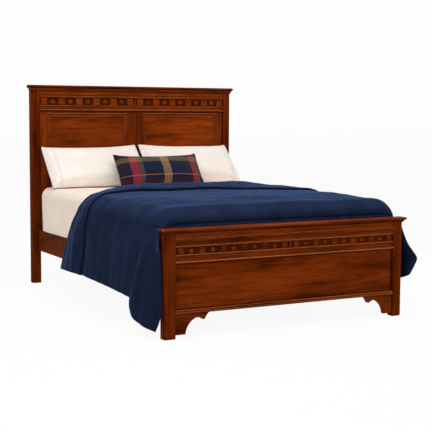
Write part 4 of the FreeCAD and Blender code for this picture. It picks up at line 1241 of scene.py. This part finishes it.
    def corner(self, borders: tuple[Any, Any, Any, Any], bulge: float, side: int,
               folds: float) -> list[tuple]:
        """One of the foot corners: cloth stretched between its crease, its free end, its top and
        its hem, bulged outward between them and waved by soft upright folds.

        Args:
            borders: points of the crease, the end, the top and the hem.
            bulge: how far the middle stands out, in mm.
            side: -1 for the left corner, 1 for the right.
            folds: number of folds across it.

        Returns:
            Patches for new_piece.
        """
        q = 1 - (1 - np.linspace(0, 1, 76)) ** 1.25
        p = 0.5 - 0.5 * np.cos(np.linspace(0, math.pi, 50))
        crease, end, top, hem = borders
        middle = stretched(border(crease, q), border(end, q), border(top, p), border(hem, p), p, q)
        rise = smoothstep(0.0, 0.3, q)[:, None]
        arch = np.sin(math.pi * p)[None]
        stand = bulge * arch * (0.3 + 0.7 * q[:, None]) * rise
        wave = 4.0 * arch ** 0.5 * np.sin(2 * math.pi * folds * p[None] + 0.6) * rise
        middle[..., 0] += side * (stand + wave)
        near = np.minimum(np.minimum(p, 1 - p)[None] * 150, np.minimum(q, 1 - q)[:, None] * 480)
        return self.two_sided(middle, self.corner_loft * self.taper(near))

    def build(self) -> None:
        """Joins the parts into one piece on the comforter's body."""
        patches = self.body() + self.foot_drop()
        patches += self.corner((self.pleat_crease, self.pleat_end, self.pleat_top, self.pleat_hem),
                               11.0, -1, 1.5)
        patches += self.corner((self.flap_crease, self.flap_end, self.flap_top, self.flap_hem),
                               6.0, 1, 1.0)
        piece = new_piece("comforter_quilt", patches, weld=2e-4)
        settle(piece, "comforter_quilt", "comforter", "comforter_cotton", COMFORTER_COTTON,
               "comforter", "comforter_foot_drop", "comforter_foot_corners")


@dataclass
class LeaningCushion:
    """A stuffed cushion that leans back: full faces, drawn-in sides and small ears."""

    name: str
    node: str
    body: str
    slot: str
    finish: Finish
    width: float
    height: float
    depth: float
    centre: float
    seam_y: float
    lean: float = 43.0
    fill: float = 0.8
    ears: float = 8.0
    pull: float = 0.03
    dip: float = 0.075
    inner_ear: float = 0.0
    sag: float = 0.2
    pressure: float = 4.0
    cap: float = 9.0
    voxel: float = 6.0
    seed: float = 0.0

    def shape(self) -> np.ndarray:
        """Half thickness over a face that has been drawn in at its sides: the product of two
        arches, (1 - |u|^2.6)^0.55 and (1 - |v|^2.4)^0.55, fuller low down than high up.

        Returns:
            Place across, half thickness and height, as one (n, n, 3) array in mm about the
            lower seam's middle.
        """
        t = np.linspace(-1, 1, 72)
        axis = np.sin(t * math.pi / 2)
        v, u = np.meshgrid(axis, axis, indexing="ij")
        across = self.width / 2 * u * (1 - self.pull * (1 - v ** 2))
        up = self.height / 2 * (1 + v * (1 - self.dip * (1 - u ** 2)))
        up = up + self.ears * np.abs(u) ** 7 * np.clip(v, 0, 1) ** 3
        inner = smoothstep(0.2, 1.0, -np.sign(self.centre) * u)
        up = up + self.inner_ear * inner * np.clip(v, 0, 1) ** 2
        up = up - 2.0 * np.abs(u) ** 7 * np.clip(-v, 0, 1) ** 3
        arch = (1 - np.abs(u) ** 2.6) ** 0.55 * (1 - np.abs(v) ** 2.4) ** 0.55
        uneven = 1 + 0.05 * np.sin(3.1 * u + self.seed) + 0.04 * np.sin(4.3 * v + 2 * self.seed + u)
        corner = np.abs(u * v) ** 2
        pleat = 1 + 0.10 * corner * np.sin(26 * (np.abs(u) - np.abs(v)) + self.seed)
        bulge = self.depth / 2 * arch * (1 - self.sag * v) * uneven * pleat
        return np.stack([across, bulge, up], -1)

    def place(self, spots: np.ndarray) -> np.ndarray:
        """Leans points back by the lean angle and stands them on the sheet.

        Args:
            spots: (..., 3) across, toward the head and up, in mm.

        Returns:
            The same points in the bed's frame, in mm.
        """
        turn = math.radians(self.lean)
        depth, up = spots[..., 1], spots[..., 2]
        y = self.seam_y + depth * math.cos(turn) + up * math.sin(turn)
        z = SHEET_TOP + 0.8 - depth * math.sin(turn) + up * math.cos(turn)
        return np.stack([self.centre + spots[..., 0], y, z], -1)

    def rest(self, spots: np.ndarray) -> np.ndarray:
        """Presses the cushion flat where it meets the sheet and the headboard."""
        soft = 6
        for axis, limit, way in ((2, SHEET_TOP + 0.9, 1), (1, HEAD_FACE - 3.0, -1)):
            clear = way * (spots[:, axis] - limit)
            spots[:, axis] = np.where(clear < soft, limit + way * soft * np.exp((clear - soft) / soft),
                                      spots[:, axis])
        return spots

    def build(self) -> None:
        """Two faces that share their edge, leaned back, blown up as cloth and pressed to rest."""
        face = self.shape()
        back = face.copy()
        face[..., 1] *= -1
        patches = [(self.place(part) * MM, grid_faces(*part.shape[:2])) for part in (face, back)]
        piece = new_piece(self.name, patches, weld=4e-5)
        puff(piece, self.voxel * MM, self.pressure, self.cap * MM)
        spots = self.rest(points_of(piece.data) / MM) * MM
        piece.data.vertices.foreach_set("co", spots.astype(np.float32).ravel())
        piece.data.polygons.foreach_set("use_smooth", np.full(len(piece.data.polygons), True))
        piece.data.update()
        finer = piece.modifiers.new("smooth cloth", "SUBSURF")
        finer.levels = finer.render_levels = 1
        settle(piece, self.name, self.body, self.slot, self.finish, self.node)


def puff(piece: bpy.types.Object, voxel: float, pressure: float, cap: float) -> None:
    """Blows a closed piece up as cloth, so that it creases as stuffed fabric does.

    Args:
        piece: the object; its mesh is replaced.
        voxel: size of the even remesh, in metres.
        pressure: of the stuffing.
        cap: the farthest a point may move, in metres.
    """
    scene = bpy.context.scene
    remesh = piece.modifiers.new("even mesh", "REMESH")
    remesh.mode = "VOXEL"
    remesh.voxel_size = voxel
    graph = bpy.context.evaluated_depsgraph_get()
    even = bpy.data.meshes.new_from_object(piece.evaluated_get(graph))
    piece.modifiers.clear()
    piece.data = even
    start = points_of(even)
    cloth = piece.modifiers.new("stuffing", "CLOTH")
    for name, value in (("quality", 5), ("mass", 0.3), ("tension_stiffness", 15),
                        ("compression_stiffness", 15), ("bending_stiffness", 0.5),
                        ("use_pressure", True), ("uniform_pressure_force", pressure)):
        setattr(cloth.settings, name, value)
    cloth.settings.effector_weights.gravity = 0
    last_frame = 20
    cloth.point_cache.frame_start = 1
    cloth.point_cache.frame_end = last_frame
    for step in range(1, last_frame + 1):
        scene.frame_set(step)
    graph = bpy.context.evaluated_depsgraph_get()
    blown = bpy.data.meshes.new_from_object(piece.evaluated_get(graph))
    piece.modifiers.clear()
    moved = points_of(blown) - start
    length = np.linalg.norm(moved, axis=1, keepdims=True)
    moved *= np.minimum(1.0, cap / np.maximum(length, 1e-9))
    piece.data = blown
    blown.vertices.foreach_set("co", (start + moved).astype(np.float32).ravel())
    blown.update()
    scene.frame_set(1)


# ---------------------------------------------------------------- the studio
@dataclass
class Studio:
    """A plain pale floor, soft light from above and the left, and the camera."""

    camera_at: Point = (-3080.76, -5831.55, 1165.0)
    yaw: float = 28.629
    pitch: float = 5.625
    roll: float = 0.366
    lens: float = 88.51
    floor_white: float = 0.925
    world_fill: float = 0.5
    # Each lamp's name, place and side in metres, and power in watts.
    lamps: tuple[tuple[str, Point, float, float], ...] = (
        ("overhead_softbox", (-0.6, -0.8, 4.2), 3.6, 88.0),
        ("left_front_softbox", (-3.6, -4.2, 3.0), 3.0, 93.0),
        ("right_front_fill", (4.4, -4.6, 2.2), 3.0, 72.0))

    def camera(self) -> None:
        """Sets the camera from its place, its turn from +Y toward +X, its tilt down and its roll."""
        yaw, pitch, roll = (math.radians(v) for v in (self.yaw, self.pitch, self.roll))
        ahead = Vector((math.sin(yaw) * math.cos(pitch), math.cos(yaw) * math.cos(pitch),
                        -math.sin(pitch)))
        right = Vector((math.cos(yaw), -math.sin(yaw), 0))
        above = right.cross(ahead)
        turned = right * math.cos(roll) + above * math.sin(roll)
        upright = above * math.cos(roll) - right * math.sin(roll)
        data = bpy.data.cameras.new("camera")
        data.lens = self.lens
        data.sensor_width = 36.0
        data.clip_end = 100.0
        camera = bpy.data.objects.new("camera", data)
        bpy.context.scene.collection.objects.link(camera)
        camera.matrix_world = Matrix.Translation(Vector(self.camera_at) * MM) @ Matrix(
            (turned, upright, -ahead)).transposed().to_4x4()
        bpy.context.scene.camera = camera

    def lamp(self, name: str, at: Point, size: float, watts: float) -> None:
        """A square soft light aimed at the middle of the bed.

        Args:
            name: the lamp's name.
            at: its place in metres.
            size: its side in metres.
            watts: its power.
        """
        data = bpy.data.lights.new(name, "AREA")
        data.size = size
        data.energy = watts
        lamp = bpy.data.objects.new(name, data)
        bpy.context.scene.collection.objects.link(lamp)
        lamp.location = at
        lamp.rotation_mode = "QUATERNION"
        lamp.rotation_quaternion = (Vector((0, 0, 0.5)) - Vector(at)).to_track_quat("-Z", "Y")

    def world(self) -> None:
        """White where the camera, a gloss or a glass looks at it, and a softer fill elsewhere."""
        world = bpy.data.worlds.new("studio")
        bpy.context.scene.world = world
        world.use_nodes = True
        tree = world.node_tree
        tree.nodes.clear()
        level = remap(tree, self.seen(tree), 0.0, 1.0, self.world_fill, 0.98)
        sky = add(tree, "Background", {"Color": (1, 1, 1, 1), "Strength": level})
        add(tree, "OutputWorld", {"Surface": sky.outputs[0]})

    def seen(self, tree: Tree) -> Socket:
        """1 for camera, glossy and transmission rays and 0 for the rest."""
        path = add(tree, "LightPath").outputs
        first = calc(tree, "MAXIMUM", path["Is Camera Ray"], path["Is Glossy Ray"])
        return calc(tree, "MAXIMUM", first, path["Is Transmission Ray"])

    def floor(self) -> None:
        """A wide pale floor that is mostly plain white to the eye but keeps a soft shadow."""
        far = 40.0
        spots = np.array([[-far, -far, 0], [far, -far, 0], [far, far, 0], [-far, far, 0]])
        ground = new_piece("studio_floor", [(spots, np.array([[0, 1, 2, 3]]))], smooth=False)
        paint = bpy.data.materials.new("floor_paint")
        paint.use_nodes = True
        tree = paint.node_tree
        tree.nodes.clear()
        pale = add(tree, "BsdfDiffuse", {"Color": linear("#F2F1EF")})
        glow = add(tree, "Emission", {"Color": (1, 1, 1, 1), "Strength": 1.0})
        share = calc(tree, "MULTIPLY", self.seen(tree), self.floor_white)
        both = add(tree, "MixShader", {0: share, 1: pale.outputs[0], 2: glow.outputs[0]})
        add(tree, "OutputMaterial", {"Surface": both.outputs[0]})
        ground.data.materials.append(paint)

    def build(self) -> None:
        """Camera, world, floor and lamps."""
        self.camera()
        self.world()
        self.floor()
        for name, at, size, watts in self.lamps:
            self.lamp(name, at, size, watts)
        bpy.context.scene.view_settings.view_transform = "Standard"
        REPORT.info("studio ready")


# ---------------------------------------------------------------- the whole bed
def main() -> None:
    """Builds and dresses the bed piece by piece."""
    logging.basicConfig(level=logging.INFO, format="%(message)s")
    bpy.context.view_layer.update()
    Studio().build()
    Joinery().dress()
    # The rosettes' cherry: drawn lighter than the boards, with less glaze and painted shade in its
    # hollows, and the painted edge highlight.
    carved = StainedCherry("cherry_stained_rosettes", Grain.ACROSS, 5.1, 1.35, most_glaze_and_painted_shade=0.6)
    Rosettes("foot_rosettes", "foot_frieze_bosses", 694.0, -1025.5, 452.5, 22.9).build(carved)
    Rosettes("head_rosettes", "head_frieze_bosses", 701.0, 1006.5, 1225.0, 31.0).build(carved)
    Screws().build()
    BoxedPad("foundation_box", "foundation", "foundation_cloth", FOUNDATION_CLOTH,
             683.0, 262.8, 451.6, 58.0, 14.0, 0.0).build()
    BoxedPad("mattress_pad", "mattress", "mattress_ticking", TICKING,
             685.0, 452.8, 645.0, 60.0, 40.0, 4.0, tuft=3.0).build()
    FittedSheet().build()
    Comforter().build()
    for name, side, seed in (("left", -1, 0.4), ("right", 1, 2.1)):
        LeaningCushion("pillow_%s_stuffed" % name, "pillow_%s" % name, "pillows", "pillow_cotton",
                       PILLOW_COTTON, 713.0, 364.0, 150.0, side * 357.1, 731.0, pull=0.002,
                       dip=0.06, inner_ear=14.0, seed=seed).build()
    LeaningCushion("checked_cushion_stuffed", "checked_cushion", "cushion", "checked_wool", WOOL,
                   640.0, 273.0, 104.0, 20.0, 572.0, lean=36.0, ears=9.0, pull=0.02, dip=0.13,
                   sag=0.05, seed=1.2).build()


if __name__ == "__main__":
    main()
